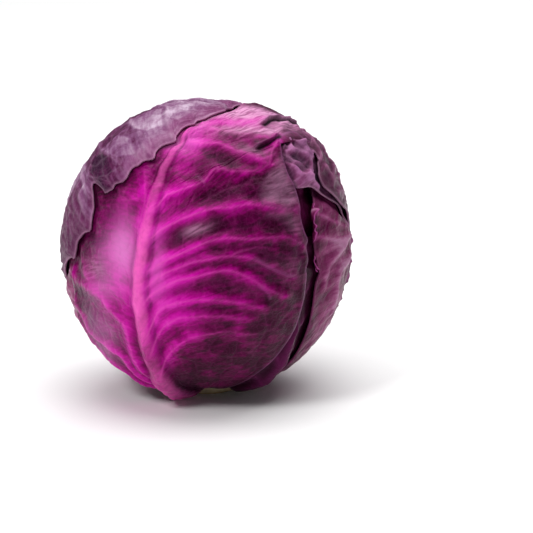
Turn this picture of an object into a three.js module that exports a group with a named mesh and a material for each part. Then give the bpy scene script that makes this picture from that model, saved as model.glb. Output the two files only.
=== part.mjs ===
// A head of red cabbage, 160 mm across: eight broad wrapper leaves folded one over another round a
// tight heart, on a short cut stem whose white core runs up inside the heart. +Z is up, the front
// of the head faces -Y, and the origin is the centre of the stem's flat cut face, which it rests on.
// Millimetres; directions on the head are a longitude (0 at the front, 90 at +X) and a latitude.
import * as THREE from "three";

// Driving dimensions
const HEAD_RADIUS = 79; // sideways, to the skin of the outermost leaf
const CROWN_RISE = 80; // from the middle of the head to its crown
const BASE_DROP = 78; // from the middle of the head down to the bottom of the leaves
const CENTRE_HEIGHT = 80.6; // middle of the head above the cut face of the stem
const BLADE = 0.95; // thickness of a leaf blade
const AIR = 1.15; // between a leaf and the one it lies on
const PITCH = BLADE + AIR;
const STEM_RADIUS = 17.5; // the cut stem, where it meets the leaves
const ATTACH = 15.5; // degrees from straight down at which a leaf joins the stem

// How far a leaf's edge shows in the leaf under it
const DRAPE_START = 4.5; // clear of the edge before the leaf under it begins to rise
const DRAPE_END = 17;
const RELIEF_START = 5; // ribs of the leaf under it start this far from the edge
const RELIEF_END = 12;

const RADIANS = Math.PI / 180;
const MM_PER_DEGREE = HEAD_RADIUS * RADIANS;

const mix = (a, b, t) => a + (b - a) * t;
const clamp = (x) => Math.min(1, Math.max(0, x));
const step = (from, to, x) => {
  const t = clamp((x - from) / (to - from));
  return t * t * (3 - 2 * t);
};
const bell = (x, spread) => Math.exp(-((x / spread) ** 2));

function direction(longitude, latitude) {
  const lon = longitude * RADIANS;
  const lat = latitude * RADIANS;
  return new THREE.Vector3(
    Math.cos(lat) * Math.sin(lon),
    -Math.cos(lat) * Math.cos(lon),
    Math.sin(lat),
  );
}

// Swellings and hollows of the whole head. Each is a place, a height in mm and a spread in degrees.
const SWELLINGS = [
  { at: direction(66, 48), rise: 3.4, spread: 30 }, // full right shoulder
  { at: direction(-48, -52), rise: 3.6, spread: 30 }, // full lower left
  { at: direction(60, -48), rise: 2.6, spread: 28 },
  { at: direction(175, -45), rise: 2.4, spread: 34 },
  { at: direction(-120, 30), rise: 1.2, spread: 26 },
  { at: direction(150, 25), rise: 1.4, spread: 24 },
  { at: direction(-75, 30), rise: -1.4, spread: 22 },
  { at: direction(20, 82), rise: -1.6, spread: 22 }, // flattened crown
  { at: direction(101, 39), rise: 1.5, spread: 14 },
  { at: direction(-91, -4), rise: -1.1, spread: 16 },
  { at: direction(54, 22), rise: -2, spread: 13 }, // the gap beside the front leaf
  { at: direction(54, 4), rise: -2.6, spread: 13 },
  { at: direction(53, -14), rise: -2.6, spread: 13 },
  { at: direction(52, -32), rise: -2, spread: 14 },
  { at: direction(0, -90), rise: -6.5, spread: 15 }, // the stem sits in a hollow
];

// Radius of the head's skin in a direction.
function skinRadius(dir) {
  const tall = dir.z > 0 ? CROWN_RISE : BASE_DROP;
  const across = (dir.x ** 2 + dir.y ** 2) / HEAD_RADIUS ** 2;
  let radius = 1 / Math.sqrt(across + (dir.z / tall) ** 2);
  for (const { at, rise, spread } of SWELLINGS) {
    radius += rise * bell(Math.acos(Math.min(1, Math.max(-1, dir.dot(at)))) / RADIANS, spread);
  }
  return radius;
}

// The leaves, from the innermost to the outermost. A leaf is drawn on the head round its centre.
// The edges say how far its margin lies from the centre, in degrees, at angles counted clockwise
// from its tip as seen from outside; where it meets the stem follows from ATTACH. flare is how far
// the margin stands off, in mm, every 30 degrees from the tip. ribs is the number of side ribs,
// fan says how steeply they climb on the right and left, and sway how far the midrib bows to the
// right. scallop is how far the margin draws back between two rib ends, and crumple the height of
// the blade's puckers, both in mm.
const LEAVES = [
  {
    name: "inner_leaf",
    centre: [42, -20],
    rightEdge: [[0, 34], [30, 35], [60, 37], [90, 38], [120, 38], [150, 44]],
    leftEdge: [[-150, 44], [-120, 38], [-90, 36], [-60, 36], [-30, 35]],
    flare: [0.4, 0.4, 0.4, 0.4, 0.4, 0.4, 0, 0.4, 0.4, 0.4, 0.4, 0.4],
    ribs: 5,
    columns: 6,
    fan: [1.2, 1.2],
    sway: 2,
    scallop: 0.6,
    crumple: 0.3,
    colour: 0x5b1443,
  },
  {
    name: "right_leaf",
    centre: [92, -5],
    rightEdge: [[0, 54], [30, 55], [60, 55], [90, 54], [120, 52], [150, 56]],
    leftEdge: [
      [-150, 54], [-120, 43], [-99, 40], [-87, 44.5], [-70, 46.5], [-55, 46], [-45, 43.5], [-20, 48],
    ],
    flare: [0.4, 0.4, 0.5, 0.5, 0.5, 0.3, 0, 0.3, 1.6, 2.4, 1.8, 0.4],
    ribs: 7,
    columns: 8,
    fan: [1.2, 1.3],
    sway: 4,
    scallop: 1.2,
    crumple: 0.5,
    colour: 0x773d5e,
  },
  {
    name: "crumpled_leaf",
    centre: [112, 14],
    rightEdge: [[0, 62], [23, 60], [45, 56], [67, 50], [90, 48], [120, 48], [150, 60]],
    leftEdge: [
      [-165, 70], [-150, 53], [-120, 34], [-100, 27], [-88, 27], [-77, 32], [-69, 42.5], [-65, 49],
      [-60, 58], [-52, 63], [-40, 61], [-27, 60],
    ],
    flare: [0.4, 0.4, 0.4, 0.4, 0.4, 0.3, 0, 0.4, 1.2, 2.2, 2.2, 0.6],
    ribs: 7,
    columns: 8,
    fan: [1.2, 1.25],
    sway: 4,
    scallop: 1.4,
    crumple: 2.2,
    colour: 0x884b76,
  },
  {
    name: "left_leaf",
    centre: [-105, -12],
    rightEdge: [[0, 60], [30, 57], [60, 53], [90, 50], [120, 52], [150, 56]],
    leftEdge: [[-150, 56], [-120, 52], [-90, 52], [-60, 54], [-30, 58]],
    flare: [0.5, 0.5, 0.5, 0.5, 0.5, 0.3, 0, 0.3, 0.6, 0.8, 0.6, 0.5],
    ribs: 6,
    columns: 7,
    fan: [1.2, 1.2],
    sway: -3,
    scallop: 0.8,
    crumple: 0.4,
    colour: 0x723e5c,
  },
  {
    name: "shoulder_leaf",
    centre: [140, 15],
    rightEdge: [[0, 52], [30, 50], [60, 50], [90, 50], [120, 50], [150, 60]],
    leftEdge: [
      [-150, 58], [-120, 45], [-100, 44], [-83, 51], [-77, 58], [-72, 64], [-64, 69], [-58, 68.5],
      [-50, 63], [-35, 58], [-20, 54],
    ],
    flare: [0.5, 0.5, 0.6, 0.6, 0.5, 0.3, 0, 0.3, 0.8, 1.6, 2.6, 1.2],
    ribs: 7,
    columns: 8,
    fan: [1.2, 1.4],
    sway: 3,
    scallop: 1.4,
    crumple: 1.2,
    colour: 0x7a4264,
  },
  {
    name: "front_leaf",
    centre: [-18, -2],
    rightEdge: [
      [0, 78], [14, 86], [25, 97], [30, 100], [35, 95], [41, 76], [46, 70], [53, 68.5], [62, 66.5],
      [70, 64.5], [80, 63], [90, 62], [100, 62], [120, 62], [150, 64],
    ],
    leftEdge: [[-150, 61], [-130, 57], [-118, 53], [-108, 48], [-95, 45.5], [-85, 47], [-60, 58], [-30, 70]],
    flare: [0.6, 2.4, 3.4, 5, 4.6, 2, 0, 1.2, 1.2, 1, 0.6, 0.6],
    ribs: 12,
    columns: 10,
    fan: [1.12, 1.9],
    sway: -8.8,
    scallop: 1.2,
    crumple: 0.4,
    colour: 0xb0208a,
  },
  {
    name: "cap_leaf",
    centre: [-140, 20],
    rightEdge: [
      [-6, 78.5], [6, 82.3], [16, 84.8], [27, 88], [39, 87.5], [50, 85.5], [58, 82], [66, 76], [77, 82],
      [86, 79], [95, 77], [120, 62], [150, 66],
    ],
    leftEdge: [[-150, 70], [-120, 49], [-90, 42], [-60, 48], [-38, 61], [-19, 73]],
    flare: [1.6, 1.4, 1.6, 1.8, 1, 0.5, 0, 0.5, 0.8, 1, 1, 1.2],
    ribs: 13,
    columns: 9,
    fan: [1.15, 1.25],
    sway: 4,
    scallop: 2.8,
    crumple: 0.8,
    colour: 0x8f6a88,
  },
  {
    name: "back_leaf",
    centre: [190, -10],
    rightEdge: [[0, 57], [30, 54], [60, 48], [90, 43], [120, 44], [150, 52]],
    leftEdge: [[-150, 52], [-120, 46], [-90, 46], [-60, 50], [-30, 54]],
    flare: [2.2, 2, 1.8, 2, 1.4, 0.5, 0, 0.5, 1.4, 2.2, 2, 2],
    ribs: 7,
    columns: 8,
    fan: [1.15, 1.15],
    sway: -4,
    scallop: 2,
    crumple: 0.8,
    colour: 0x7d4a70,
  },
];

// Midrib and side ribs, in mm. A taper is the power with which a size falls from base to tip.
const MIDRIB_HEIGHT = { base: 4.4, tip: 0.8, taper: 0.7 };
const MIDRIB_HALF_WIDTH = { base: 7.5, tip: 2.2, taper: 0.6 };
const MIDRIB_BOW = 0.75; // below 1 the midrib bows most in its lower half
const RIB_HEIGHT = 1.6;
const RIB_SHARPNESS = 1.5;
const RIB_RISE = 0.15; // share of a side rib over which it grows out of the midrib
const RIB_FADE = 0.75; // share of it from which it dies away towards the margin
const RIBLESS_FOOT = [0.05, 0.2]; // shares of a leaf between which the side ribs come up

// Outline of a leaf
const TIP_ANGLE = 10; // the last row of a leaf ends this far round from the tip
const PETIOLE_ANGLE = 10; // half the leaf's width where it joins the stem, seen from its centre
const ARCH = { out: 15, up: 30, full: 0.3 }; // degrees a side rib swings out and up, and from where
const SCALLOPS = [0.12, 0.3]; // shares of a leaf between which its margin becomes scalloped
const FLARE_WIDTH = 16; // mm of blade along the margin that stand off with it
const RUFFLE = 0.4; // share of the flare that comes and goes with the ribs

// Puckers, as waves over a leaf, in radians per degree
const PUCKERS = { across: 0.55, along: 0.47, lean: 0.13, bend: 2, bendRate: 0.21 };
const PUCKER_START = 0.2; // share of a side rib over which they come up

// Mesh of a leaf
const ROWS_PER_RIB = 3;
const COLUMN_CROWDING = 1.45; // above 1 the columns crowd towards the midrib

for (const leaf of LEAVES) {
  const [lon, lat] = leaf.centre;
  leaf.out = direction(lon, lat);
  leaf.up = direction(lon, lat + 90);
  leaf.right = new THREE.Vector3().crossVectors(leaf.up, leaf.out);
  leaf.foot = 90 + lat - ATTACH;
  leaf.edge = [[-180, leaf.foot], ...leaf.leftEdge, ...leaf.rightEdge, [180, leaf.foot]];
}

// A value given every 30 degrees, read at any angle.
function around(values, angle) {
  const place = ((((angle % 360) + 360) % 360) / 360) * values.length;
  const k = Math.floor(place);
  return mix(values[k % values.length], values[(k + 1) % values.length], place - k);
}

// How far a leaf's margin is from its centre at an angle: a smooth line through its points.
function reach(leaf, angle) {
  const { edge } = leaf;
  let k = 1;
  while (k < edge.length - 2 && angle > edge[k + 1][0]) k += 1;
  if (angle < edge[1][0]) k = 0;
  const slope = (n) => {
    const [a, b, c] = [edge[n - 1] ?? edge.at(-2), edge[n], edge[n + 1] ?? edge[1]];
    const before = (b[1] - a[1]) / ((b[0] - a[0] + 360) % 360);
    const after = (c[1] - b[1]) / ((c[0] - b[0] + 360) % 360);
    return before * after <= 0 ? 0 : (2 * before * after) / (before + after);
  };
  const [from, to] = [edge[k], edge[k + 1]];
  const span = to[0] - from[0];
  const t = (angle - from[0]) / span;
  const rise = to[1] - from[1];
  return (
    from[1] +
    rise * t * t * (3 - 2 * t) +
    span * t * (1 - t) * (slope(k) * (1 - t) - slope(k + 1) * t)
  );
}

for (const leaf of LEAVES) leaf.tip = reach(leaf, 0);

// Where a direction lies on a leaf: degrees right and up from its centre.
function onLeaf(leaf, dir) {
  const turn = Math.acos(Math.min(1, Math.max(-1, dir.dot(leaf.out)))) / RADIANS;
  const x = dir.dot(leaf.right);
  const y = dir.dot(leaf.up);
  const length = Math.hypot(x, y) || 1;
  return [(turn * x) / length, (turn * y) / length];
}

function fromLeaf(leaf, x, y) {
  const turn = Math.hypot(x, y) * RADIANS;
  const share = turn > 0 ? Math.sin(turn) / Math.hypot(x, y) : 0;
  return new THREE.Vector3()
    .addScaledVector(leaf.out, Math.cos(turn))
    .addScaledVector(leaf.right, x * share)
    .addScaledVector(leaf.up, y * share);
}

// How far outside a leaf's edge a place on it is, in mm. Inside it is negative.
function beyondEdge(leaf, x, y) {
  return (Math.hypot(x, y) - reach(leaf, Math.atan2(x, y) / RADIANS)) * MM_PER_DEGREE;
}

// The room that the leaves outside number index take, and how bare it lies (1 where none covers it).
function under(index, dir) {
  let depth = 0;
  let bare = 1;
  for (const outer of LEAVES.slice(index + 1)) {
    const beyond = beyondEdge(outer, ...onLeaf(outer, dir));
    depth += PITCH * (1 - step(DRAPE_START, DRAPE_END, beyond));
    bare *= step(RELIEF_START, RELIEF_END, beyond);
  }
  return { depth, bare };
}

// The midrib of a leaf, from the stem at along = 0 to the tip at along = 1.
function midrib(leaf, along) {
  return {
    x: leaf.sway * Math.sin(Math.PI * along ** MIDRIB_BOW),
    y: mix(-leaf.foot, leaf.tip, along),
  };
}

// 1 on a side rib and 0 halfway to the next.
function ribWave(leaf, along) {
  return 0.5 + 0.5 * Math.cos(2 * Math.PI * leaf.ribs * along);
}

// A place on a leaf: along it from the stem, and across it from -1 at its left edge to 1.
function leafPlace(leaf, along, across) {
  const side = across < 0 ? -1 : 1;
  const fan = side > 0 ? leaf.fan[0] : leaf.fan[1];
  const angle = side * mix(TIP_ANGLE, 180 - PETIOLE_ANGLE, (1 - along) ** fan);
  const scallop = (leaf.scallop / MM_PER_DEGREE) * (1 - ribWave(leaf, along));
  const rim = reach(leaf, angle) - scallop * step(...SCALLOPS, along);
  const start = midrib(leaf, along);
  const end = { x: rim * Math.sin(angle * RADIANS), y: rim * Math.cos(angle * RADIANS) };
  const swing = step(0, ARCH.full, along) * (1 - along ** 2);
  const bendX = mix(mix(start.x, end.x, 0.5), start.x + side * ARCH.out, swing);
  const bendY = mix(mix(start.y, end.y, 0.5), start.y + ARCH.up * (1 - along) ** 0.5, swing);
  const t = Math.abs(across);
  return {
    x: (1 - t) ** 2 * start.x + 2 * t * (1 - t) * bendX + t * t * end.x,
    y: (1 - t) ** 2 * start.y + 2 * t * (1 - t) * bendY + t * t * end.y,
    angle: across === 0 ? 0 : angle,
  };
}

// Puckers of the blade, from 0 in a hollow to 1 on a crest.
function pucker(x, y) {
  const crosswise = Math.sin(x * PUCKERS.across + PUCKERS.bend * Math.sin(y * PUCKERS.bendRate));
  const lengthwise = Math.sin(y * PUCKERS.along + x * PUCKERS.lean);
  return 0.5 + 0.5 * crosswise * lengthwise;
}

// A size that falls along a leaf, from its foot at 0 to its tip at 1.
function tapered({ base, tip, taper }, along) {
  return mix(base, tip, along ** taper);
}

// Height of the ribs over the blade, on the outer face alone.
function ribHeight(leaf, along, across, x, y) {
  const climb = clamp((y + leaf.foot) / (leaf.tip + leaf.foot));
  const off = Math.abs(x - midrib(leaf, climb).x) * MM_PER_DEGREE;
  const main = tapered(MIDRIB_HEIGHT, along) * bell(off, tapered(MIDRIB_HALF_WIDTH, along));
  const t = Math.abs(across);
  const wave = ribWave(leaf, along) ** RIB_SHARPNESS;
  const side = RIB_HEIGHT * wave * step(0, RIB_RISE, t) * (1 - step(RIB_FADE, 1, t));
  const puckers = leaf.crumple * pucker(x, y) * step(0, PUCKER_START, t);
  return main + (side + puckers) * step(...RIBLESS_FOOT, along);
}

// A blade as one closed solid: an outer and an inner face on one grid, split alike, and a rim.
function leafGeometry(leaf, index) {
  const rows = leaf.ribs * ROWS_PER_RIB;
  const spread = Array.from(
    { length: leaf.columns },
    (_, k) => ((k + 1) / leaf.columns) ** COLUMN_CROWDING,
  );
  const columns = [...spread.map((u) => -u).reverse(), 0, ...spread];
  const wide = columns.length;
  const outer = [];
  const inner = [];
  for (let row = 0; row <= rows; row++) {
    for (const across of columns) {
      const along = row / rows;
      const { x, y, angle } = leafPlace(leaf, along, across);
      const dir = fromLeaf(leaf, x, y);
      const { depth, bare } = under(index, dir);
      const inside = -beyondEdge(leaf, x, y);
      const rim = across === 0 && row < rows ? 0 : around(leaf.flare, angle);
      const ruffle = 1 - RUFFLE * (1 - ribWave(leaf, along));
      const lift = rim * ruffle * bare * (1 - step(0, FLARE_WIDTH, inside));
      const radius = skinRadius(dir) - depth + lift;
      outer.push(dir.clone().multiplyScalar(radius + bare * ribHeight(leaf, along, across, x, y)));
      inner.push(dir.clone().multiplyScalar(radius - BLADE));
    }
  }
  const points = [...outer, ...inner];
  const faces = [];
  const at = (row, column) => row * wide + column;
  const behind = outer.length;
  for (let row = 0; row < rows; row++) {
    for (let column = 0; column + 1 < wide; column++) {
      const corners = [at(row, column), at(row, column + 1), at(row + 1, column + 1), at(row + 1, column)];
      const [a, b, c, d] = corners;
      faces.push([a, b, c], [a, c, d]);
      faces.push([a + behind, c + behind, b + behind], [a + behind, d + behind, c + behind]);
    }
  }
  const rim = [];
  for (let column = 0; column + 1 < wide; column++) rim.push(at(0, column));
  for (let row = 0; row < rows; row++) rim.push(at(row, wide - 1));
  for (let column = wide - 1; column > 0; column--) rim.push(at(rows, column));
  for (let row = rows; row > 0; row--) rim.push(at(row, 0));
  rim.forEach((from, k) => {
    const to = rim[(k + 1) % rim.length];
    faces.push([from, from + behind, to + behind], [from, to + behind, to]);
  });
  return solid(points, faces);
}

function solid(points, faces) {
  const geometry = new THREE.BufferGeometry();
  geometry.setAttribute(
    "position",
    new THREE.Float32BufferAttribute(points.flatMap((p) => [p.x, p.y, p.z]), 3),
  );
  geometry.setIndex(faces.flat());
  geometry.computeVertexNormals();
  return geometry;
}

// The white core: it swells a little above the cut, then tapers to a blunt end inside the heart.
const CORE_HEIGHT = 74;
const CORE_SIDES = 20;
const CORE_FIT = 0.35; // between the core and the heart grown round it
const STUB_PROFILE = [
  // height above the cut face, radius
  [0, STEM_RADIUS - 0.8],
  [1.2, STEM_RADIUS],
  [8, STEM_RADIUS],
  [15, 15.2],
];
const CORE_PROFILE = [
  [30, 12.5],
  [46, 10],
  [60, 7.4],
  [70, 4.2],
];

function stemGeometry() {
  const profile = [[0, 0], ...STUB_PROFILE, ...CORE_PROFILE, [CORE_HEIGHT, 0]];
  const points = profile.map(([height, radius]) => new THREE.Vector2(radius, height));
  const lathe = new THREE.LatheGeometry(points, CORE_SIDES);
  lathe.rotateX(Math.PI / 2);
  return lathe;
}

// The heart: the tight ball of inner leaves. Its skin steps in where one folded leaf ends on the
// next, and it is open below, where the core enters it.
const HEART_SIDES = 36;
const HEART_RINGS = 20;
const HEART_FOLDS = 5;
const FOLD_STEP = 1.3;
const FOLD_TWIST = 130; // degrees down the heart over which a fold's edge moves round to the next
const FOLD_DEPTH_GROWS = [6, 26]; // degrees from the crown between which the steps come up

function heartGeometry() {
  const points = [];
  const mouth = 180 - ATTACH; // degrees from straight up to the edge of the opening for the core
  const ring = (radiusAt) => {
    for (let side = 0; side < HEART_SIDES; side++) {
      points.push(radiusAt((side / HEART_SIDES) * 360));
    }
  };
  points.push(new THREE.Vector3(0, 0, heartRadius(direction(0, 90))));
  for (let k = 1; k <= HEART_RINGS; k++) {
    const polar = (k / HEART_RINGS) * mouth;
    ring((lon) => {
      const dir = direction(lon, 90 - polar);
      const fold = (lon / 360) * HEART_FOLDS + polar / FOLD_TWIST;
      const stepIn = FOLD_STEP * (fold - Math.floor(fold)) * step(...FOLD_DEPTH_GROWS, polar);
      return dir.multiplyScalar(heartRadius(dir) - stepIn);
    });
  }
  for (const [height, radius] of CORE_PROFILE) {
    const wall = radius + CORE_FIT;
    ring((lon) => direction(lon, 0).multiplyScalar(wall).setZ(height - CENTRE_HEIGHT + CORE_FIT));
  }
  points.push(new THREE.Vector3(0, 0, CORE_HEIGHT + 2 * CORE_FIT - CENTRE_HEIGHT));
  const rings = (points.length - 2) / HEART_SIDES;
  const last = points.length - 1;
  const at = (k, side) => 1 + k * HEART_SIDES + (side % HEART_SIDES);
  const faces = [];
  for (let side = 0; side < HEART_SIDES; side++) {
    faces.push([0, at(0, side), at(0, side + 1)]);
    faces.push([last, at(rings - 1, side + 1), at(rings - 1, side)]);
    for (let k = 0; k + 1 < rings; k++) {
      const [a, b, c, d] = [at(k, side), at(k, side + 1), at(k + 1, side + 1), at(k + 1, side)];
      faces.push([a, c, b], [a, d, c]);
    }
  }
  return solid(points, faces);
}

function heartRadius(dir) {
  return skinRadius(dir) - under(-1, dir).depth - PITCH;
}

// Finish of the pieces: waxed leaf, firm young leaf and dry cut core
const WAXED = 0.42;
const FIRM = 0.5;
const DRY = 0.7;

const head = new THREE.Group();

function addPiece(name, geometry, color, roughness, height) {
  const material = new THREE.MeshStandardMaterial({ color, roughness, metalness: 0 });
  const piece = new THREE.Mesh(geometry, material);
  piece.name = name;
  piece.position.z = height;
  head.add(piece);
}

LEAVES.forEach((leaf, index) => {
  addPiece(leaf.name, leafGeometry(leaf, index), leaf.colour, WAXED, CENTRE_HEIGHT);
});
addPiece("heart", heartGeometry(), 0x4a1238, FIRM, CENTRE_HEIGHT);
addPiece("stem", stemGeometry(), 0xe8dcc0, DRY, 0);

export default head;
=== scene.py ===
# A whole head of red cabbage, taken apart from the outside in: each leaf lies over the ones that
# follow it in this file, down to the heart and the stem. The leaves and the stem are worked out in
# millimetres, and meshes, materials, lights and the camera are in metres. A place on a leaf is x
# degrees right and y degrees up from the leaf's centre.
import math

import bpy
import numpy as np
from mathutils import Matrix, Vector


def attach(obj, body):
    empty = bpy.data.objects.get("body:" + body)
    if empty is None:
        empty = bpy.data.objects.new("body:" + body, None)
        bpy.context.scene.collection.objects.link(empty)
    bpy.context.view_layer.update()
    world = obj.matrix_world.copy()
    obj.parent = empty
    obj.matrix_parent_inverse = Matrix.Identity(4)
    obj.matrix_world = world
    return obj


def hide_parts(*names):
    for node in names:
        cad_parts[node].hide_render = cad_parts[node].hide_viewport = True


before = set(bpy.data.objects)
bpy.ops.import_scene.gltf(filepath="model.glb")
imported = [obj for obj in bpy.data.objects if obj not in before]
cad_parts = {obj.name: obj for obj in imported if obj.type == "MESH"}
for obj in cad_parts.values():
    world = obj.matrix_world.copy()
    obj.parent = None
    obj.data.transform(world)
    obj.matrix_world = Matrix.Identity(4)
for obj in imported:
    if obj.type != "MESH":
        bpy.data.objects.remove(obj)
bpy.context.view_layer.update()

# Back leaf
# The outermost leaf closes the back of the head. It is a waxy blade under a millimetre thick on a
# stout midrib, snapped from the stem at its foot, and its margin has dried and turned out a little.
MM = 0.001
HEAD_RADIUS = 79.0
CROWN_RISE = 80.0
BASE_DROP = 78.0
CENTRE_HEIGHT = 80.6
BLADE = 0.95
PITCH = 2.1
ATTACH = 15.5
PETIOLE_ANGLE = 10.0
DRAPE = (1.2, 10.0)
RELIEF = (0.6, 5.0)
DEGREE = math.radians(1.0)
MM_PER_DEGREE = HEAD_RADIUS * DEGREE


def bearing(longitude, latitude):
    lon = longitude * DEGREE
    lat = latitude * DEGREE
    return np.array([math.cos(lat) * math.sin(lon), -math.cos(lat) * math.cos(lon), math.sin(lat)])


SWELLINGS = [
    (bearing(66, 48), 3.4, 30),
    (bearing(-48, -52), 3.6, 30),
    (bearing(60, -48), 2.6, 28),
    (bearing(175, -45), 2.4, 34),
    (bearing(-120, 30), 1.2, 26),
    (bearing(150, 25), 1.4, 24),
    (bearing(-75, 30), -1.4, 22),
    (bearing(20, 82), -1.6, 22),
    (bearing(101, 39), 1.5, 14),
    (bearing(-91, -4), -1.1, 16),
    (bearing(54, 22), -2.0, 13),
    (bearing(54, 4), -2.6, 13),
    (bearing(53, -14), -2.6, 13),
    (bearing(52, -32), -2.0, 14),
    (bearing(0, -90), -6.5, 15),
]


def bell(value, spread):
    return np.exp(-((value / spread) ** 2))


def ease(start, end, value):
    t = np.clip((value - start) / (end - start), 0, 1)
    return t * t * (3 - 2 * t)


def skin_radius(d):
    """Radius of the head's skin along unit directions."""
    tall = np.where(d[..., 2] > 0, CROWN_RISE, BASE_DROP)
    across = (d[..., 0] ** 2 + d[..., 1] ** 2) / HEAD_RADIUS**2
    radius = 1 / np.sqrt(across + (d[..., 2] / tall) ** 2)
    for at, rise, spread in SWELLINGS:
        radius = radius + rise * bell(np.arccos(np.clip(d @ at, -1, 1)) / DEGREE, spread)
    return radius


def along_line(line, share):
    """Points at shares of a line's length."""
    lengths = np.hypot(*np.diff(line, axis=0).T)
    run = np.concatenate([[0], np.cumsum(lengths)])
    return np.stack([np.interp(share, run / run[-1], line[:, k]) for k in (0, 1)], -1)


def flowing(points, step=1.1):
    """A smooth line through given points, cut into steps of about one length."""
    p = np.array(points, float)
    before = np.vstack([2 * p[0] - p[1], p[:-1]])
    after = np.vstack([p[2:], 2 * p[-1] - p[-2]])
    line = []
    for a, b, c, e in zip(before, p[:-1], p[1:], after):
        for t in np.arange(12) / 12:
            line.append(
                b + 0.5 * t * (c - a + t * (2 * a - 5 * b + 4 * c - e + t * (3 * (b - c) + e - a)))
            )
    line = np.vstack([line, p[-1]])
    run = np.sum(np.hypot(*np.diff(line, axis=0).T))
    return along_line(line, np.linspace(0, 1, max(int(run / step), 4)))


FAR = 16.0
STRETCH = 8


def outside_of(ring, x, y):
    """How far outside a closed outline a place is, in mm; inside it is negative. Places more than
    FAR from the outline are only told apart as in or out."""
    away = np.full(x.shape, (FAR / MM_PER_DEGREE) ** 2)
    inside = np.zeros(x.shape, bool)
    ring = np.vstack([ring, ring[:1]])
    for start in range(0, len(ring) - 1, STRETCH):
        part = ring[start : start + STRETCH + 1]
        middle = part.mean(0)
        span = np.hypot(*(part - middle).T).max() + FAR / MM_PER_DEGREE
        close = np.flatnonzero((x - middle[0]) ** 2 + (y - middle[1]) ** 2 < span**2)
        px, py = x[close], y[close]
        best = away[close]
        level = np.flatnonzero((y > part[:, 1].min()) & (y < part[:, 1].max()))
        lx, ly = x[level], y[level]
        crossed = np.zeros(len(level), bool)
        for (ax, ay), (bx, by) in zip(part[:-1], part[1:]):
            ex, ey = bx - ax, by - ay
            t = np.clip(((px - ax) * ex + (py - ay) * ey) / max(ex * ex + ey * ey, 1e-9), 0, 1)
            best = np.minimum(best, (px - ax - t * ex) ** 2 + (py - ay - t * ey) ** 2)
            if ay != by:
                crossed ^= ((ay > ly) != (by > ly)) & (lx < ax + (ly - ay) * ex / ey)
        away[close] = best
        inside[level] ^= crossed
    return np.where(inside, -1, 1) * np.sqrt(away) * MM_PER_DEGREE


RIPPLE_WAVES = 7


def ripple(spots, length, seed):
    """Smooth unevenness, mostly between -1 and 1, with hollows about length mm apart."""
    rng = np.random.default_rng(seed)
    total = np.zeros(len(spots))
    for _ in range(RIPPLE_WAVES):
        heading = rng.normal(size=3)
        heading *= 2 * math.pi / (length * rng.uniform(0.75, 1.4) * np.linalg.norm(heading))
        total += np.sin(spots @ heading + rng.uniform(0, 2 * math.pi))
    return total / math.sqrt(RIPPLE_WAVES) / 1.2


def margin(points, uneven):
    """A smooth margin through its points, drawn in and out by a share of its distance."""
    line = flowing(points)
    share = np.linspace(0, 1, len(line))
    drawn = uneven * ease(0, 0.2, share) * (1 - ease(0.9, 1, share))
    spots = np.column_stack([line, 0 * share]) * MM_PER_DEGREE
    return line * (1 + drawn * (ripple(spots, 26, 71) + 0.4 * ripple(spots, 9, 72)))[:, None]


ARCH_REACH, ARCH_RISE = 15, 30


class Leaf:
    def __init__(self, name, centre, left, right, midrib, flare, uneven=(0, 0)):
        self.name = name
        self.out = bearing(*centre)
        self.up = bearing(centre[0], centre[1] + 90)
        self.right = np.cross(self.up, self.out)
        foot = 90 + centre[1] - ATTACH
        lean = PETIOLE_ANGLE * DEGREE
        petiole = np.array([math.sin(lean), -math.cos(lean)]) * foot
        self.left_margin = margin([petiole * (-1, 1), *left], uneven[0])
        self.right_margin = margin([petiole, *right], uneven[1])
        self.midrib = flowing([(0, -foot), *midrib])
        self.outline = np.vstack([self.right_margin, self.left_margin[::-1]])
        self.flare = flare

    def directions(self, x, y):
        turn = np.hypot(x, y) * DEGREE
        share = np.sinc(turn / math.pi) * DEGREE
        return (
            np.cos(turn)[..., None] * self.out
            + (share * x)[..., None] * self.right
            + (share * y)[..., None] * self.up
        )

    def places(self, d):
        turn = np.arccos(np.clip(d @ self.out, -1, 1)) / DEGREE
        x, y = d @ self.right, d @ self.up
        length = np.maximum(np.hypot(x, y), 1e-9)
        return turn * x / length, turn * y / length

    def row(self, share, across):
        """Where a row that leaves the midrib at a share of its length is, from -1 left to 1 right."""
        start = along_line(self.midrib, share)
        ends = [along_line(m, share) for m in (self.left_margin, self.right_margin)]
        end = np.where((across < 0)[..., None], *ends)
        side = np.sign(across)
        swing = (ease(0, 0.3, share) * (1 - share**2))[..., None]
        reach = np.stack([side * ARCH_REACH, ARCH_RISE * np.sqrt(1 - share)], -1)
        bend = (start + end) / 2 * (1 - swing) + (start + reach) * swing
        t = np.abs(across)[..., None]
        return (1 - t) ** 2 * start + 2 * t * (1 - t) * bend + t * t * end


laid = []


def under_others(d):
    """How deep the leaves already laid push a place, and how bare it lies (1 where none is on it)."""
    depth = np.zeros(d.shape[:-1])
    bare = np.ones(d.shape[:-1])
    for other in laid:
        gap = outside_of(other.outline, *other.places(d))
        depth += PITCH * (1 - ease(*DRAPE, gap))
        bare *= ease(*RELIEF, gap)
    return depth, bare


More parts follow.
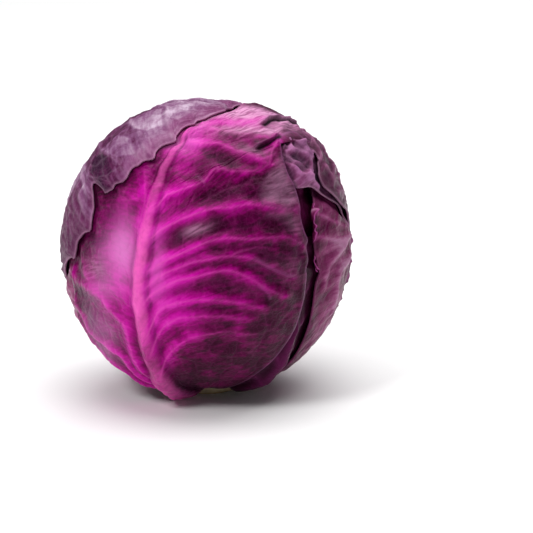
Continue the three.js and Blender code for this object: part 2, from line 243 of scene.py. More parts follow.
def distance_to(line, leaf, spots, reach=FAR):
    """How far spots, in mm on the head, are from a line on a leaf, how far along it, and on which
    side of it: 1 on the left as one follows the line, -1 on the right."""
    path = leaf.directions(line[:, 0], line[:, 1]) * HEAD_RADIUS
    steps = np.linalg.norm(np.diff(path, axis=0), axis=1)
    run = np.concatenate([[0], np.cumsum(steps)])
    best = np.full(len(spots), float(reach))
    share = np.zeros(len(spots))
    side = np.ones(len(spots))
    for start in range(0, len(steps), STRETCH):
        part = path[start : start + STRETCH + 1]
        middle = part.mean(0)
        span = np.linalg.norm(part - middle, axis=1).max() + reach
        close = np.flatnonzero(np.sum((spots - middle) ** 2, axis=1) < span**2)
        for k, (a, b) in enumerate(zip(part[:-1], part[1:]), start):
            e = b - a
            off = spots[close] - a
            t = np.clip(off @ e / max(e @ e, 1e-9), 0, 1)
            away = np.linalg.norm(off - t[:, None] * e, axis=1)
            nearer = away < best[close]
            there = close[nearer]
            best[there] = away[nearer]
            share[there] = (run[k] + t[nearer] * steps[k]) / run[-1]
            side[there] = np.sign(off[nearer] @ np.cross(a, e))
    return best, share, side


FIRST_VEIN = 0.1


def side_veins(leaf, count, seed, last=0.93):
    """Side veins that swing from the midrib to the margin, each forking on the way."""
    rng = np.random.default_rng(seed)
    veins = []
    for side in (-1, 1):
        for k in range(count):
            offset = 0.5 if side > 0 else 0.25
            share = FIRST_VEIN + (last - FIRST_VEIN) * (k + 0.3 * rng.uniform(-1, 1) + offset) / count
            t = np.linspace(0, 0.97, 14)
            wave = 0.006 * np.sin(t * rng.uniform(6, 11) + rng.uniform(0, 6))
            veins.append((leaf.row(np.clip(share + wave, 0, 1), side * t), 1.0))
            for turn in (-1, 1):
                start = rng.uniform(0.3, 0.62)
                fork = np.linspace(start, 1, 10)
                swing = turn * 0.42 / count * ((fork - start) / (1 - start)) ** 0.8
                base = share + np.interp(fork, t, wave)
                veins.append((leaf.row(np.clip(base + swing, 0, 1), side * fork), 0.6))
    return veins


def quilting(patch, size, seed):
    """Bulges of the blade between its finer veins, size mm across: how many mm a place is from the
    seam between two bulges, and a value from -1 to 1 that differs from bulge to bulge."""
    table = np.random.default_rng(seed).uniform(-1, 1, (3, 64, 64))
    u, v = patch.grain[:, 0] / (1.5 * size), patch.grain[:, 1] / size
    across, up = np.floor(u).astype(int), np.floor(v).astype(int)
    nearest = np.full(len(u), 9.0)
    second = nearest.copy()
    value = np.zeros(len(u))
    for i in (-1, 0, 1):
        for j in (-1, 0, 1):
            shift_x, shift_y, level = table[:, (across + i) % 64, (up + j) % 64]
            away = np.hypot(u - across - i - 0.5 - 0.4 * shift_x, v - up - j - 0.5 - 0.4 * shift_y)
            nearer = away < nearest
            second = np.minimum(second, np.where(nearer, nearest, away))
            value = np.where(nearer, level, value)
            nearest = np.where(nearer, away, nearest)
    return (second - nearest) * size, value


# The colour layers each leaf carries: a tone from deep to bright with painted light and shade in it; pinker
# patches with painted highlights; the midrib's pale colour, partly painted highlight; veins; dark blotches
# with painted shade in valleys, grooves and fold hollows; wax dust with painted sheen; painted shade under
# folds and at the midrib's foot; and a paler margin with painted highlights on fold lips.
TISSUES = ("glow", "flush_and_highlight", "rib", "vein", "blotch_and_shade", "bloom_and_sheen", "shade", "edge")
ALL_ROUND = 400.0
COLUMN_CROWDING = 1.1
GRAIN_WIDTH, GRAIN_LENGTH = 80.0, 150.0


class Patch:
    """The places of a leaf's mesh, and what its relief and its colours follow there."""

    def __init__(self, leaf, rows, columns):
        across = np.concatenate([
            -((np.arange(columns[0], 0, -1) / columns[0]) ** COLUMN_CROWDING),
            [0],
            (np.arange(1, columns[1] + 1) / columns[1]) ** COLUMN_CROWDING,
        ])
        share, cross = np.meshgrid(np.linspace(0, 1, rows + 1), across, indexing="ij")
        xy = leaf.row(share.ravel(), cross.ravel())
        self.leaf = leaf
        self.shape = share.shape
        self.x, self.y = xy.T
        self.grain = np.stack([cross * GRAIN_WIDTH, share * GRAIN_LENGTH, 0 * share], -1).reshape(-1, 3)
        self.d = leaf.directions(self.x, self.y)
        self.spots = self.d * HEAD_RADIUS
        self.depth, self.bare = under_others(self.d)
        self.inside = -outside_of(leaf.outline, self.x, self.y)
        self.rib_off, self.climb, self.rib_side = distance_to(leaf.midrib, leaf, self.spots, ALL_ROUND)
        self.height = np.zeros(len(self.x))
        self.tissue = {key: np.zeros(len(self.x)) for key in TISSUES}
        self.ridge = np.zeros(len(self.x))

    def near(self, points):
        return distance_to(flowing(points), self.leaf, self.spots)

    def within(self, corners):
        return -outside_of(np.array(corners), self.x, self.y)

    def stain(self, key, spots):
        """Adds soft patches: place, width and height in degrees, lean to the left, and strength."""
        for x, y, wide, tall, lean, amount in spots:
            c, s = math.cos(lean * DEGREE), math.sin(lean * DEGREE)
            u = c * (self.x - x) + s * (self.y - y)
            v = c * (self.y - y) - s * (self.x - x)
            self.tissue[key] += amount * np.exp(-((u / wide) ** 2) - (v / tall) ** 2)

    def add_ripple(self, height, length, seed):
        self.height += height * ripple(self.spots, length, seed)

    def creases(self, length, seed):
        """1 on crooked lines about length mm apart, and 0 away from them."""
        return bell(ripple(self.spots, length, seed), 0.25)

    def add_midrib(self, half_width, height, shine=([0, 0.15, 1], [0.3, 0.9, 0.6])):
        width = np.interp(self.climb, *half_width)
        rib = np.clip(1 - (self.rib_off / width) ** 2, 0, 1)
        self.height += np.interp(self.climb, *height) * rib**1.3
        self.height -= 0.5 * bell(self.rib_off - 1.3 * width, 0.35 * width) * (1 - rib)
        # Painted shade in the grooves along both sides of the midrib.
        for side, depth, spread in ((-1, 0.6, 0.25), (1, 0.35, 0.2)):
            crease_shade = bell(self.rib_off - 1.2 * width, spread * width)
            self.tissue["blotch_and_shade"] += depth * crease_shade * (self.rib_side == side)
        # The midrib's own pale colour, made stronger or weaker along it by the shine values: partly painted
        # highlight.
        self.tissue["rib"] = ease(0.15, 0.9, rib) * np.interp(self.climb, *shine)

    def add_quilting(self, size, height, seed, line=0.08):
        seam, _ = quilting(self, size, seed)
        free = 1 - self.tissue["rib"]
        self.height += height * ease(0, 0.3 * size, seam) * free
        self.tissue["vein"] = np.maximum(self.tissue["vein"], line * bell(seam, 0.55) * free)

    def add_veins(self, veins, half_width, height, line=0.45, line_width=0.6, under=0.3):
        """Side ribs: a broad soft ridge each, raised and painted lighter, partly as painted light, the vein
        as a fine line on its crest, and painted shade in a groove along its lower side."""
        ridge, vein, crease_shade = np.zeros((3, len(self.x)))
        for points, strength in veins:
            away, far, side = self.near(points)
            fade = strength * (1 - 0.45 * far) * ease(-0.04, 0.06, far)
            below = away * side * np.sign(points[0][0] - points[-1][0])
            ridge = np.maximum(ridge, fade * bell(away, half_width))
            drawn = fade * (1 - 0.6 * far) * ease(0.02, 0.14, far) * bell(away, line_width)
            vein = np.maximum(vein, drawn)
            crease_shade = np.maximum(crease_shade, fade * bell(below - 0.75 * half_width, 0.35 * half_width))
        self.ridge = np.maximum(self.ridge, ridge)
        self.height += height * ridge + 0.25 * vein
        self.tissue["blotch_and_shade"] += under * crease_shade
        self.tissue["vein"] = np.maximum(self.tissue["vein"], line * vein)
        self.tissue["glow"] += 0.6 * ridge

    def ledge(self, points, rise, reach, crease_shade=1.0):
        """A fold: the left side of the line stands above the right side, with painted shade in the groove
        under it and a painted highlight along its lip.
        """
        away, far, side = self.near(points)
        ends = ease(0.0, 0.18, far) * (1 - ease(0.85, 1.0, far)) * (1 - ease(9, FAR, away))
        signed = away * side
        above = ease(-0.5, 0.5, signed) * np.exp(-np.maximum(signed, 0) / reach)
        below = ease(0.2, -0.4, signed) * np.exp(np.minimum(signed, 0) / (0.6 * reach))
        self.height += ends * rise * (above - 0.35 * below)
        # Painted shade under the lip, and a painted highlight along it.
        self.tissue["shade"] += crease_shade * ends * bell(signed + 0.9, 1.0)
        self.tissue["edge"] += 0.5 * ends * bell(signed - 0.7, 0.6)


def flaring(patch, width):
    """How far the margin stands off, from the leaf's thirteen values round it."""
    angle = np.arctan2(patch.x, patch.y) / DEGREE
    lift = np.interp(angle, np.linspace(-180, 180, 13), patch.leaf.flare)
    wave = 0.85 + 0.25 * ripple(patch.spots, length=20, seed=5)
    return lift * wave * (1 - ease(0, width, patch.inside)) ** 1.6


TURNED = (0, 3, 2, 1)


def squares(grid, order=(0, 1, 2, 3)):
    """Faces between neighbours in a grid of corner numbers; TURNED shows them their other side."""
    corners = [grid[:-1, :-1], grid[:-1, 1:], grid[1:, 1:], grid[1:, :-1]]
    return np.stack([corners[k] for k in order], -1).reshape(-1, 4)


def around(grid):
    """The corner numbers on the edge of a grid, all the way round."""
    return np.concatenate([grid[0, :-1], grid[:-1, -1], grid[-1, :0:-1], grid[:0:-1, 0]])


THINNED_RIM = 3.5
UNDER_RIB = 0.8


def blade_mesh(patch, flare_width=9.0):
    """One closed blade: a fine outer face, a coarser inner face, and the margin between them."""
    tissue = patch.tissue
    raised = patch.height * ease(0, THINNED_RIM, patch.inside)
    radius = skin_radius(patch.d) - patch.depth + patch.bare * flaring(patch, flare_width)
    lying = radius + patch.bare * raised
    outer = patch.d * lying[:, None]
    inner = patch.d * (lying - BLADE - UNDER_RIB * patch.bare * np.maximum(raised, 0))[:, None]
    tissue["edge"] = np.maximum(tissue["edge"], bell(patch.inside, 0.8))
    # Tone, veins and midrib painted darker near and under the margins of the leaves lying over this one:
    # painted shade.
    for key in ("glow", "vein", "rib"):
        tissue[key] = tissue[key] * (0.4 + 0.6 * patch.bare)

    count = len(patch.x)
    grid = np.arange(count).reshape(patch.shape)
    thin = grid[::2, ::2]
    low = count + np.arange(thin.size).reshape(thin.shape)
    top, bottom = around(grid), around(low)
    rim = np.stack([top[::2], bottom, np.roll(bottom, -1), np.roll(top[::2], -1), top[1::2]], -1)
    picked = np.concatenate([np.arange(count), thin.ravel()])
    layers = {key: np.clip(values, 0, 1)[picked] for key, values in tissue.items()}
    points = np.vstack([outer, inner[thin.ravel()]])
    faces = [squares(grid), squares(low)[:, ::-1], rim]
    laid.append(patch.leaf)
    return skin_mesh(patch.leaf.name, points, faces, layers, patch.grain[picked] * MM)


def skin_mesh(name, points, faces, layers, place):
    mesh = bpy.data.meshes.new(name + "_skin")
    corners = np.concatenate([f.ravel() for f in faces]).astype(np.int32)
    sides = np.concatenate([np.full(len(f), f.shape[1]) for f in faces])
    mesh.vertices.add(len(points))
    raised = (np.asarray(points) + (0, 0, CENTRE_HEIGHT)) * MM
    mesh.vertices.foreach_set("co", raised.astype(np.float32).ravel())
    mesh.loops.add(len(corners))
    mesh.loops.foreach_set("vertex_index", corners)
    mesh.polygons.add(len(sides))
    starts = np.concatenate([[0], np.cumsum(sides)[:-1]]).astype(np.int32)
    mesh.polygons.foreach_set("loop_start", starts)
    mesh.polygons.foreach_set("use_smooth", np.ones(len(sides), bool))
    mesh.update(calc_edges=True)
    mesh.validate()
    for key, values in layers.items():
        layer = mesh.attributes.new(key, "FLOAT", "POINT")
        layer.data.foreach_set("value", values.astype(np.float32))
    layer = mesh.attributes.new("leaf_place", "FLOAT_VECTOR", "POINT")
    layer.data.foreach_set("vector", place.astype(np.float32).ravel())
    piece = bpy.data.objects.new(name + "_skin", mesh)
    bpy.context.scene.collection.objects.link(piece)
    return piece


def colour(code):
    """An sRGB hex colour as linear values."""
    parts = [int(code[k : k + 2], 16) / 255 for k in (1, 3, 5)]
    return [c / 12.92 if c <= 0.04045 else ((c + 0.055) / 1.055) ** 2.4 for c in parts] + [1.0]


def node(tree, kind, settings=(), inputs=()):
    """Adds a node; an input is a value or another node's output."""
    made = tree.nodes.new(kind)
    for key, value in dict(settings).items():
        setattr(made, key, value)
    for key, value in dict(inputs).items():
        if isinstance(value, bpy.types.NodeSocket):
            tree.links.new(value, made.inputs[key])
        else:
            made.inputs[key].default_value = value
    return made


def waxy_leaf(
    name, tones, rib, vein, bloom_and_sheen, flush_and_highlight="#b8489a", blotch_and_shade="#43203c", edge="#c58fb2",
    mottle=0.3, grain=1.0, gloss=0.35,
):
    """Living leaf skin under its wax: clouded colour from deep to flushed with painted light and shade in
    it, fine veins, and dust with painted sheen.
    """
    material = bpy.data.materials.new(name)
    material.use_nodes = True
    tree = material.node_tree
    shader = tree.nodes["Principled BSDF"]
    here = node(tree, "ShaderNodeTexCoord").outputs["Object"]
    on_leaf = node(tree, "ShaderNodeAttribute", {"attribute_name": "leaf_place"}).outputs["Vector"]

    def tissue(key):
        return node(tree, "ShaderNodeAttribute", {"attribute_name": key}).outputs["Fac"]

    def reckon(operation, a, b, clamp=False):
        settings = {"operation": operation, "use_clamp": clamp}
        return node(tree, "ShaderNodeMath", settings, {0: a, 1: b}).outputs[0]

    def cloud(size_mm, detail, low, high, where=here, warp=0.0):
        noise = node(
            tree, "ShaderNodeTexNoise", {},
            {"Vector": where, "Scale": 1000 / size_mm, "Detail": detail, "Distortion": warp},
        )
        return node(
            tree, "ShaderNodeMapRange", {"interpolation_type": "SMOOTHSTEP"},
            {0: noise.outputs["Fac"], 1: low, 2: high},
        ).outputs[0]

    def blend(share, a, b):
        return node(tree, "ShaderNodeMix", {"data_type": "RGBA"}, {0: share, 6: a, 7: b}).outputs[2]

    def broken_up(key, pattern, swing, least):
        strength = reckon("ADD", reckon("MULTIPLY", pattern, swing), least)
        return reckon("MULTIPLY", tissue(key), strength, clamp=True)

    # The net of the finest veins, 3 mm and 1 mm across its meshes.
    bent = node(tree, "ShaderNodeTexNoise", {}, {"Vector": here, "Scale": 260.0}).outputs["Color"]
    wander = node(tree, "ShaderNodeVectorMath", {"operation": "SCALE"}, {0: bent, 3: 0.0022}).outputs[0]
    bent_place = node(tree, "ShaderNodeVectorMath", {"operation": "ADD"}, {0: here, 1: wander}).outputs[0]
    nets = []
    for mesh_mm, line in ((3.0, 0.1), (1.0, 0.16)):
        net = node(
            tree, "ShaderNodeTexVoronoi", {"feature": "DISTANCE_TO_EDGE"},
            {"Vector": bent_place, "Scale": 1000 / mesh_mm},
        ).outputs["Distance"]
        nets.append(
            node(tree, "ShaderNodeMapRange", {}, {0: net, 1: line, 2: 0.0, 3: 0.0, 4: 1.0}).outputs[0]
        )

    # Fine streaks along the side veins, 1.2 mm across and 9 mm long.
    drawn = node(tree, "ShaderNodeVectorMath", {"operation": "MULTIPLY"}, {0: on_leaf, 1: (1.0, 7.5, 1.0)})
    streaks = cloud(9, 4.0, 0.3, 0.7, where=drawn.outputs[0], warp=0.4)
    clouds = cloud(12, 4.0, 0.32, 0.68, warp=0.5)
    specks = cloud(2.4, 3.0, 0.3, 0.7)
    level = tissue("glow")
    for pattern, share in ((clouds, 0.8), (streaks, 0.55), (specks, 0.2)):
        level = reckon("ADD", level, reckon("MULTIPLY", reckon("SUBTRACT", pattern, 0.5), share * mottle))
    ramp = node(tree, "ShaderNodeValToRGB", {}, {"Fac": level})
    stops = ramp.color_ramp.elements
    for _ in range(len(tones) - 2):
        stops.new(1.0)
    for k, tone in enumerate(tones):
        stops[k].position = k / (len(tones) - 1)
        stops[k].color = colour(tone)
    # Over the tone: pinker patches with painted highlights, dark blotches with painted shade, fine veins,
    # the midrib, wax dust with painted sheen, a paler margin, and painted shade under folds.
    base = blend(tissue("flush_and_highlight"), ramp.outputs["Color"], colour(flush_and_highlight))
    base = blend(broken_up("blotch_and_shade", streaks, 0.4, 0.5), base, colour(blotch_and_shade))
    base = blend(reckon("MULTIPLY", nets[0], 0.035 * grain), base, colour(vein))
    base = blend(tissue("vein"), base, colour(vein))
    base = blend(broken_up("rib", specks, 0.25, 0.75), base, colour(rib))
    # Wax dust with painted sheen; the same share also makes the skin rougher.
    dust_and_sheen = broken_up("bloom_and_sheen", streaks, 0.8, 0.3)
    base = blend(dust_and_sheen, base, colour(bloom_and_sheen))
    base = blend(reckon("MULTIPLY", tissue("edge"), 0.4), base, colour(edge))
    base = blend(tissue("shade"), base, colour("#0d0209"))
    tree.links.new(base, shader.inputs["Base Color"])

    rough = node(tree, "ShaderNodeMapRange", {}, {0: dust_and_sheen, 3: gloss, 4: 0.6}).outputs[0]
    tree.links.new(rough, shader.inputs["Roughness"])
    relief = reckon("ADD", reckon("MULTIPLY", nets[0], 0.5), reckon("MULTIPLY", nets[1], 0.3))
    relief = reckon("ADD", relief, reckon("MULTIPLY", specks, 1.2))
    relief = reckon("ADD", relief, reckon("MULTIPLY", streaks, 0.5))
    bump = node(tree, "ShaderNodeBump", {}, {"Strength": 0.4, "Distance": 0.0003 * grain, "Height": relief})
    tree.links.new(bump.outputs["Normal"], shader.inputs["Normal"])
    shader.inputs["IOR"].default_value = 1.4
    shader.inputs["Specular IOR Level"].default_value = 0.22
    shader.inputs["Specular Tint"].default_value = colour("#ff9cdc")
    return material


def finish_leaf(piece, material, name):
    piece.data.materials.append(material)
    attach(piece, "root")
    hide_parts(name)


OUTER_RIB = {"half_width": ([0, 0.4, 1], [7.5, 4, 1.6]), "height": ([0, 0.4, 1], [4.2, 2.4, 0.7])}
back = Leaf(
    "back_leaf", (190, -10),
    left=[(-26, -48), (-40, -24), (-46, 0), (-44, 26), (-28, 47), (-8, 56)],
    right=[(26, -46), (38, -22), (43, 0), (41.5, 24), (27, 47), (8, 56)],
    midrib=[(-2, -40), (-4, 0), (-2, 40), (0, 57)],
    flare=[0, 0.5, 1.4, 2.2, 2, 2, 2.2, 2, 1.8, 2, 1.4, 0.5, 0], uneven=(0.03, 0.03),
)
patch = Patch(back, 200, (90, 90))
patch.tissue["glow"] += 0.3 + 0.35 * bell(patch.rib_off, 16)
patch.add_midrib(**OUTER_RIB)
patch.add_veins(side_veins(back, 8, seed=31), half_width=3.4, height=1.4)
patch.add_quilting(7.5, 0.4, seed=42)
patch.add_ripple(0.5, length=11, seed=41)
finish_leaf(
    blade_mesh(patch),
    waxy_leaf(
        "waxy_back_leaf", ["#3a1530", "#5c2a4d", "#7d4069", "#9a5a85"],
        rib="#b67aa0", vein="#b98aa6", bloom_and_sheen="#9c7f98", grain=1.2,
    ),
    "back_leaf",
)

# Cap leaf
# A broad old leaf from the back that has dulled to a dusty mauve. It lies over the crown like a
# cap, and its front margin is drawn up into cusps, one at the end of each side vein.
cap = Leaf(
    "cap_leaf", (-140, 20),
    left=[(-30, -62), (-42, -25), (-42, 0), (-42, 24), (-36, 50), (-23.4, 69.2), (-18.3, 72.9), (-8, 79.7)],
    right=[
        (30, -57), (52, -32), (66, -16), (75.2, -5.7), (78.1, -4.6), (78.1, 1.4), (77.2, 5.7), (77.9, 9.4),
        (78.6, 13.3), (80.9, 17.4), (81, 18.7), (76.3, 24), (73.3, 27.4), (70.3, 28.5), (65.8, 29.7),
        (60.3, 29.8), (59.5, 30.9), (61.2, 32.7), (64.7, 35.3), (68.1, 37.2), (70.7, 37.8), (70.2, 39.4),
        (70.2, 43.2), (68.6, 44.5), (68, 46.3), (68.2, 49.9), (66.4, 53), (64.4, 54.4), (61.9, 56.4),
        (60.4, 58.7), (60.3, 60.3), (57.9, 62.5), (57, 64.6), (55.8, 68.6), (51.6, 69.2), (49.1, 70.3),
        (46.4, 72.1), (43.3, 75.9), (41, 78), (38.2, 77), (34.4, 77.3), (29.9, 77.8), (25.9, 79.2),
        (23.6, 80.9), (19.9, 80.3), (15.7, 81.8), (9, 81.7), (4.4, 81.6), (-1.9, 81.1),
    ],
    midrib=[(3, -50), (4, 0), (2, 45), (-4, 80)],
    flare=[0, 0.5, 0.8, 1, 1, 0.4, -0.5, -0.7, -0.7, 0.4, 1, 0.5, 0], uneven=(0.025, 0),
)
CAP_VEINS = [
    ([(2, 30), (13.1, 57.3), (26.3, 67.6), (37.2, 74), (40.4, 77.3)], 1),
    ([(4, 14), (16, 38), (29.4, 49.2), (37.9, 57.6), (46, 61.7), (51.9, 65.4), (54.9, 68.6)], 1),
    ([(5, -4), (22, 22), (43, 36.7), (51.2, 44), (55.2, 47.6), (60.3, 51.4), (64.8, 54.5)], 1),
    ([(0, 48), (9.6, 70.3), (18.3, 77.6), (22, 80.8)], 0.8),
    ([(41.1, 32.1), (52.5, 29.7), (57.8, 32.1), (67, 43.3)], 0.7),
    ([(56.1, 60.1), (46.9, 63.3), (39.3, 62.7)], 0.5),
    ([(26, 44), (33, 52), (37.9, 57.6)], 0.5),
    ([(48.9, 25.7), (53.3, 20.7), (57, 15.4), (65.5, 9.8), (72.2, 6)], 1),
    ([(63.2, 14.4), (64.1, 8.6), (68.4, 2.8), (74, -2.1)], 1),
    ([(58, 27), (63, 21.5), (73.7, 21.4), (78.3, 18.8)], 1),
    ([(59, 31), (62.5, 35.5), (66.5, 38.8), (69.8, 39)], 0.9),
]
CAP_PANELS = [
    (0.26, 14, [(41.9, 35.4), (36.2, 44.9), (43.4, 55.4), (54.5, 60.1), (54.9, 49.1), (51.2, 44)]),
    (0.24, 16, [
        (26.6, 44.9), (36.7, 54.5), (37.9, 57.6), (39.3, 62.7), (33.2, 69.4), (15.6, 59), (14.9, 46.4),
    ]),
    (0.28, 12, [(26.4, 67.3), (13.6, 58.9), (8.1, 68.3), (17.8, 76.2), (27.7, 74.6)]),
    (-0.3, 14, [(41.1, 32.1), (50.7, 43.1), (61.7, 45.8), (67, 43.3), (57.8, 32.1), (52.5, 29.7)]),
]
patch = Patch(cap, 300, (60, 150))
seam, tone = quilting(patch, 17, seed=12)
glow = patch.tissue["glow"]
# Lighter towards the top, painted light from overhead, and each bulge a little lighter or darker, painted
# light and shade of bulges that tilt their own ways.
glow += 0.25 + 0.34 * ease(36, 80, patch.y) + 0.16 * tone * ease(0.2, 2.0, seam)
patch.height += 0.7 + 0.4 * ease(0, 6, seam)
patch.add_quilting(7, 0.3, seed=13, line=0.1)
# Panels between the veins painted lighter or darker: painted light and shade of panels that face the light
# at different angles.
for amount, width, corners in CAP_PANELS:
    deep = patch.within(corners)
    glow += amount * ease(-0.3, 1.6, deep) * (1 - 0.5 * ease(0, width, deep))
patch.tissue["flush_and_highlight"] += 0.5 * ease(14, 2, patch.inside) * ease(46, 62, patch.y)
patch.add_midrib(**OUTER_RIB)
patch.add_veins(CAP_VEINS, half_width=1.6, height=0.7, line=0.4, line_width=0.35, under=0.3)
glow -= 0.4 * patch.ridge
patch.add_veins(side_veins(cap, 12, seed=33, last=0.55), half_width=2.2, height=0.6, line=0.28)
patch.add_ripple(0.3, length=15, seed=43)
torn = bell(np.hypot(patch.x - 66, patch.y - 36), 7)
patch.height += 1.6 * torn * (0.6 + 0.5 * ripple(patch.spots, 5, 45))
flap = ease(26, 18, patch.y) * ease(46, 54, patch.x)
patch.height += 0.6 * flap * bell(ripple(patch.spots, 12, 46), 0.4)
# The low flap painted darker as painted shade, and pinker; the torn bump painted darker too.
glow -= 0.36 * flap + 0.3 * torn
patch.tissue["flush_and_highlight"] += 0.35 * flap
patch.tissue["blotch_and_shade"] += 0.4 * flap
finish_leaf(
    blade_mesh(patch, flare_width=6),
    waxy_leaf(
        "dulled_cap_leaf", ["#30082a", "#571c46", "#7e4e76", "#a2809c", "#c8b0c6"],
        rib="#a88aa4", vein="#c49dba", bloom_and_sheen="#a78fa6", flush_and_highlight="#8a3f70", blotch_and_shade="#30102c",
        grain=1.3, gloss=0.46,
    ),
    "cap_leaf",
)

# Front leaf
# The leaf that faces the camera: bright pink ribs on deep purple, a midrib as thick as a finger at
# its foot, and a right margin that stands clear of the leaf behind it, folded sharply near the top.
front = Leaf(
    "front_leaf", (-18, -2),
    left=[
        (-22.8, -60.4), (-28.6, -56.6), (-38.5, -48.8), (-44, -43.4), (-47, -34), (-48.8, -26.2),
        (-45.8, -13.6), (-45.9, -9.2), (-46.2, -3.4), (-46.9, 1.8), (-47.5, 14), (-46, 32), (-34, 54),
        (-10, 72),
    ],
    right=[
        (33, -54), (47, -41), (56, -28), (60.5, -15), (61.7, -7.4), (62.2, -1), (61.8, 1.4), (63.3, 6.5),
        (62.2, 12.3), (63.2, 15.6), (61.4, 18.9), (59.9, 22.4), (58.7, 27.8), (58.6, 30.9), (56.5, 36.6),
        (54.6, 41), (51, 46.1), (48.6, 52.3), (46.9, 59.7), (46, 63.9), (47.6, 66.1), (50, 68.5),
        (53.2, 70.7), (55.9, 71.8), (57.8, 70.8), (59.4, 69.3), (61.7, 68.6), (65.4, 68.4), (67, 70.4),
        (63.8, 73.9), (61.7, 77.1), (60.7, 81.6), (60.7, 91.9), (57.3, 93.7), (47, 98), (36, 99), (24, 95),
        (10, 85),
    ],
    midrib=[
        (-3, -62), (-4.2, -50.6), (-5.3, -37.1), (-6.2, -27.3), (-6.3, -15.2), (-6.5, -2.7), (-6.1, 5.1),
        (-5.4, 10.9), (-4.2, 20.3), (-3.5, 29.9), (-2.5, 37.2), (-2.1, 44.4), (-0.7, 50.4), (0.2, 55.9),
        (1.6, 60.4), (4, 82),
    ],
    flare=[0, 0.6, 0.8, 0.8, 0.6, 0.6, 0.6, 2.4, 1.4, 1.4, 1, 0.6, 0],
)
FRONT_VEINS = [
    ([(-4.6, -46), (0, -34), (7, -25), (15, -21), (26, -20), (38, -24)], 0.7),
    ([(-5.6, -33), (-0.5, -21), (6, -14), (13, -12.5), (24, -12.5), (36, -16)], 0.75),
    ([(-6, -26), (-2, -16), (2, -9.3), (8.3, -6.5), (18.2, -5.2), (30, -7), (42, -12)], 0.9),
    ([(-6.5, -12), (-2.3, -4.8), (2, -1.5), (8.2, 2.1), (14.6, 3.7), (20.9, 5.3), (27.7, 6), (35.1, 2.9),
      (43.2, -3.2), (50, -8)], 1),
    ([(-6.5, -5), (-1.8, 0.1), (4, 4.7), (9.5, 7.2), (14.5, 9.2), (20.8, 10.6), (27.6, 11.5), (36, 10.4),
      (43.8, 5.5), (49.5, 2.1), (56.2, -0.9)], 0.85),
    ([(-6, 3), (4.8, 9.8), (10.7, 12.7), (16.1, 15.4), (21.5, 17.6), (27.9, 18.5), (34, 17.9),
      (41.3, 18.2), (49.6, 18.2), (55.2, 16.1), (60, 13.2)], 1),
    ([(-5.5, 12), (-1, 18), (3.1, 21.4), (9.4, 25), (15.2, 27.6), (20.6, 29.4), (26.3, 30.1),
      (33.9, 31.6), (39, 31.4), (45.8, 30.2), (54.3, 29.7), (58, 30)], 1),
    ([(-4, 24), (1.4, 32.9), (5.9, 35.6), (11.9, 38), (16, 40.3), (19.8, 45.5), (26.9, 45.2), (34, 45.8),
      (39.1, 48), (42.7, 49.6), (48, 50)], 0.8),
    ([(2.9, 58.4), (11.4, 57.2), (19.3, 57.5), (25.5, 55.7), (33.3, 53), (42.3, 49.2)], 0.8),
    ([(3.2, 59.1), (8, 66), (10.4, 68.5), (18, 71), (26.2, 71.5), (34.6, 74.5), (39.3, 78.4)], 0.7),
    ([(3.2, 59.1), (6.7, 72.3), (13.5, 83.8), (21.7, 91.5)], 0.7),
    ([(10.4, 68.5), (15.7, 66.1), (23.9, 65.1), (32, 64.4), (39.3, 62.9)], 0.5),
    ([(46.2, 63.8), (43.2, 57.1), (42.3, 49.2)], 0.7),
    ([(27.7, 11.5), (33, 13.5), (40, 14.5), (47, 13)], 0.4),
    ([(-3.8, -52), (-13, -40), (-13.6, -21.2), (-16.3, -15.9), (-20.8, -12.3), (-25.6, -7.9),
      (-33.1, -6.3), (-40.6, -5.4), (-45.5, -2.7)], 0.9),
    ([(-3.4, -58), (-17.4, -46.8), (-20.3, -35.2), (-29.8, -32.1), (-37.4, -29.6), (-42.1, -22.7),
      (-45.4, -14)], 1),
    ([(-3, -62), (-19.4, -54.2), (-26.5, -47.3), (-35, -43), (-40.5, -39.2), (-46, -28)], 1),
    ([(-7, -10), (-12, -4), (-22, -4), (-29.4, -6.4), (-35.5, 1.9), (-40.2, 8.1), (-43.5, 10.3)], 0.35),
    ([(-5.5, 12), (-7.7, 20), (-7.4, 24.7), (-6.9, 32.8), (-10.8, 43.7), (-15.3, 45.9)], 0.6),
    ([(-7.4, 29.6), (-9.5, 31.9), (-17.4, 30.9), (-21.6, 35.3), (-27.7, 37.2)], 0.3),
]
FRONT_FLAPS = [
    (0.3, [
        (43, 45), (48.6, 52), (51, 46.1), (54.6, 41), (56.5, 36.6), (58, 31.4), (50, 30.6), (41, 32.5),
        (40, 39),
    ]),
    (0.2, [
        (43.5, 28), (49.1, 27), (51.9, 23.8), (55.3, 19.3), (58.2, 14.6), (60, 16), (59, 22), (57.5, 28),
        (50, 29.5),
    ]),
    (0.1, [(36, 8), (46, 8.5), (56, 10), (59, 5), (56, 0.5), (49.5, 3.5), (43.8, 6.5), (38, 9)]),
]
patch = Patch(front, 330, (92, 146))
glow = patch.tissue["glow"]
spread = np.where(patch.rib_side < 0, 15.0, 19.0)
glow += 0.06 + 0.42 * bell(patch.rib_off, spread) * ease(-0.05, 0.35, patch.climb)
# The right part painted darker: painted shade away from the front-left light.
glow -= 0.1 * ease(26, 50, patch.x)
patch.add_midrib(
    half_width=([0, 0.2, 0.45, 0.6, 0.72, 0.82, 1], [8.0, 6.0, 4.7, 4.2, 3.4, 2.4, 1.6]),
    height=([0, 0.2, 0.45, 0.6, 0.72, 0.82, 1], [4.8, 4.6, 3.6, 2.8, 2.0, 1.2, 0.5]),
    shine=([0, 0.12, 0.2, 0.28, 0.4, 0.58, 0.66, 1], [0.95, 0.9, 0.55, 0.25, 0.9, 0.9, 0.35, 0.6]),
)
patch.add_veins(FRONT_VEINS, half_width=3.6, height=2.6, line=0.7, line_width=0.5, under=0.4)
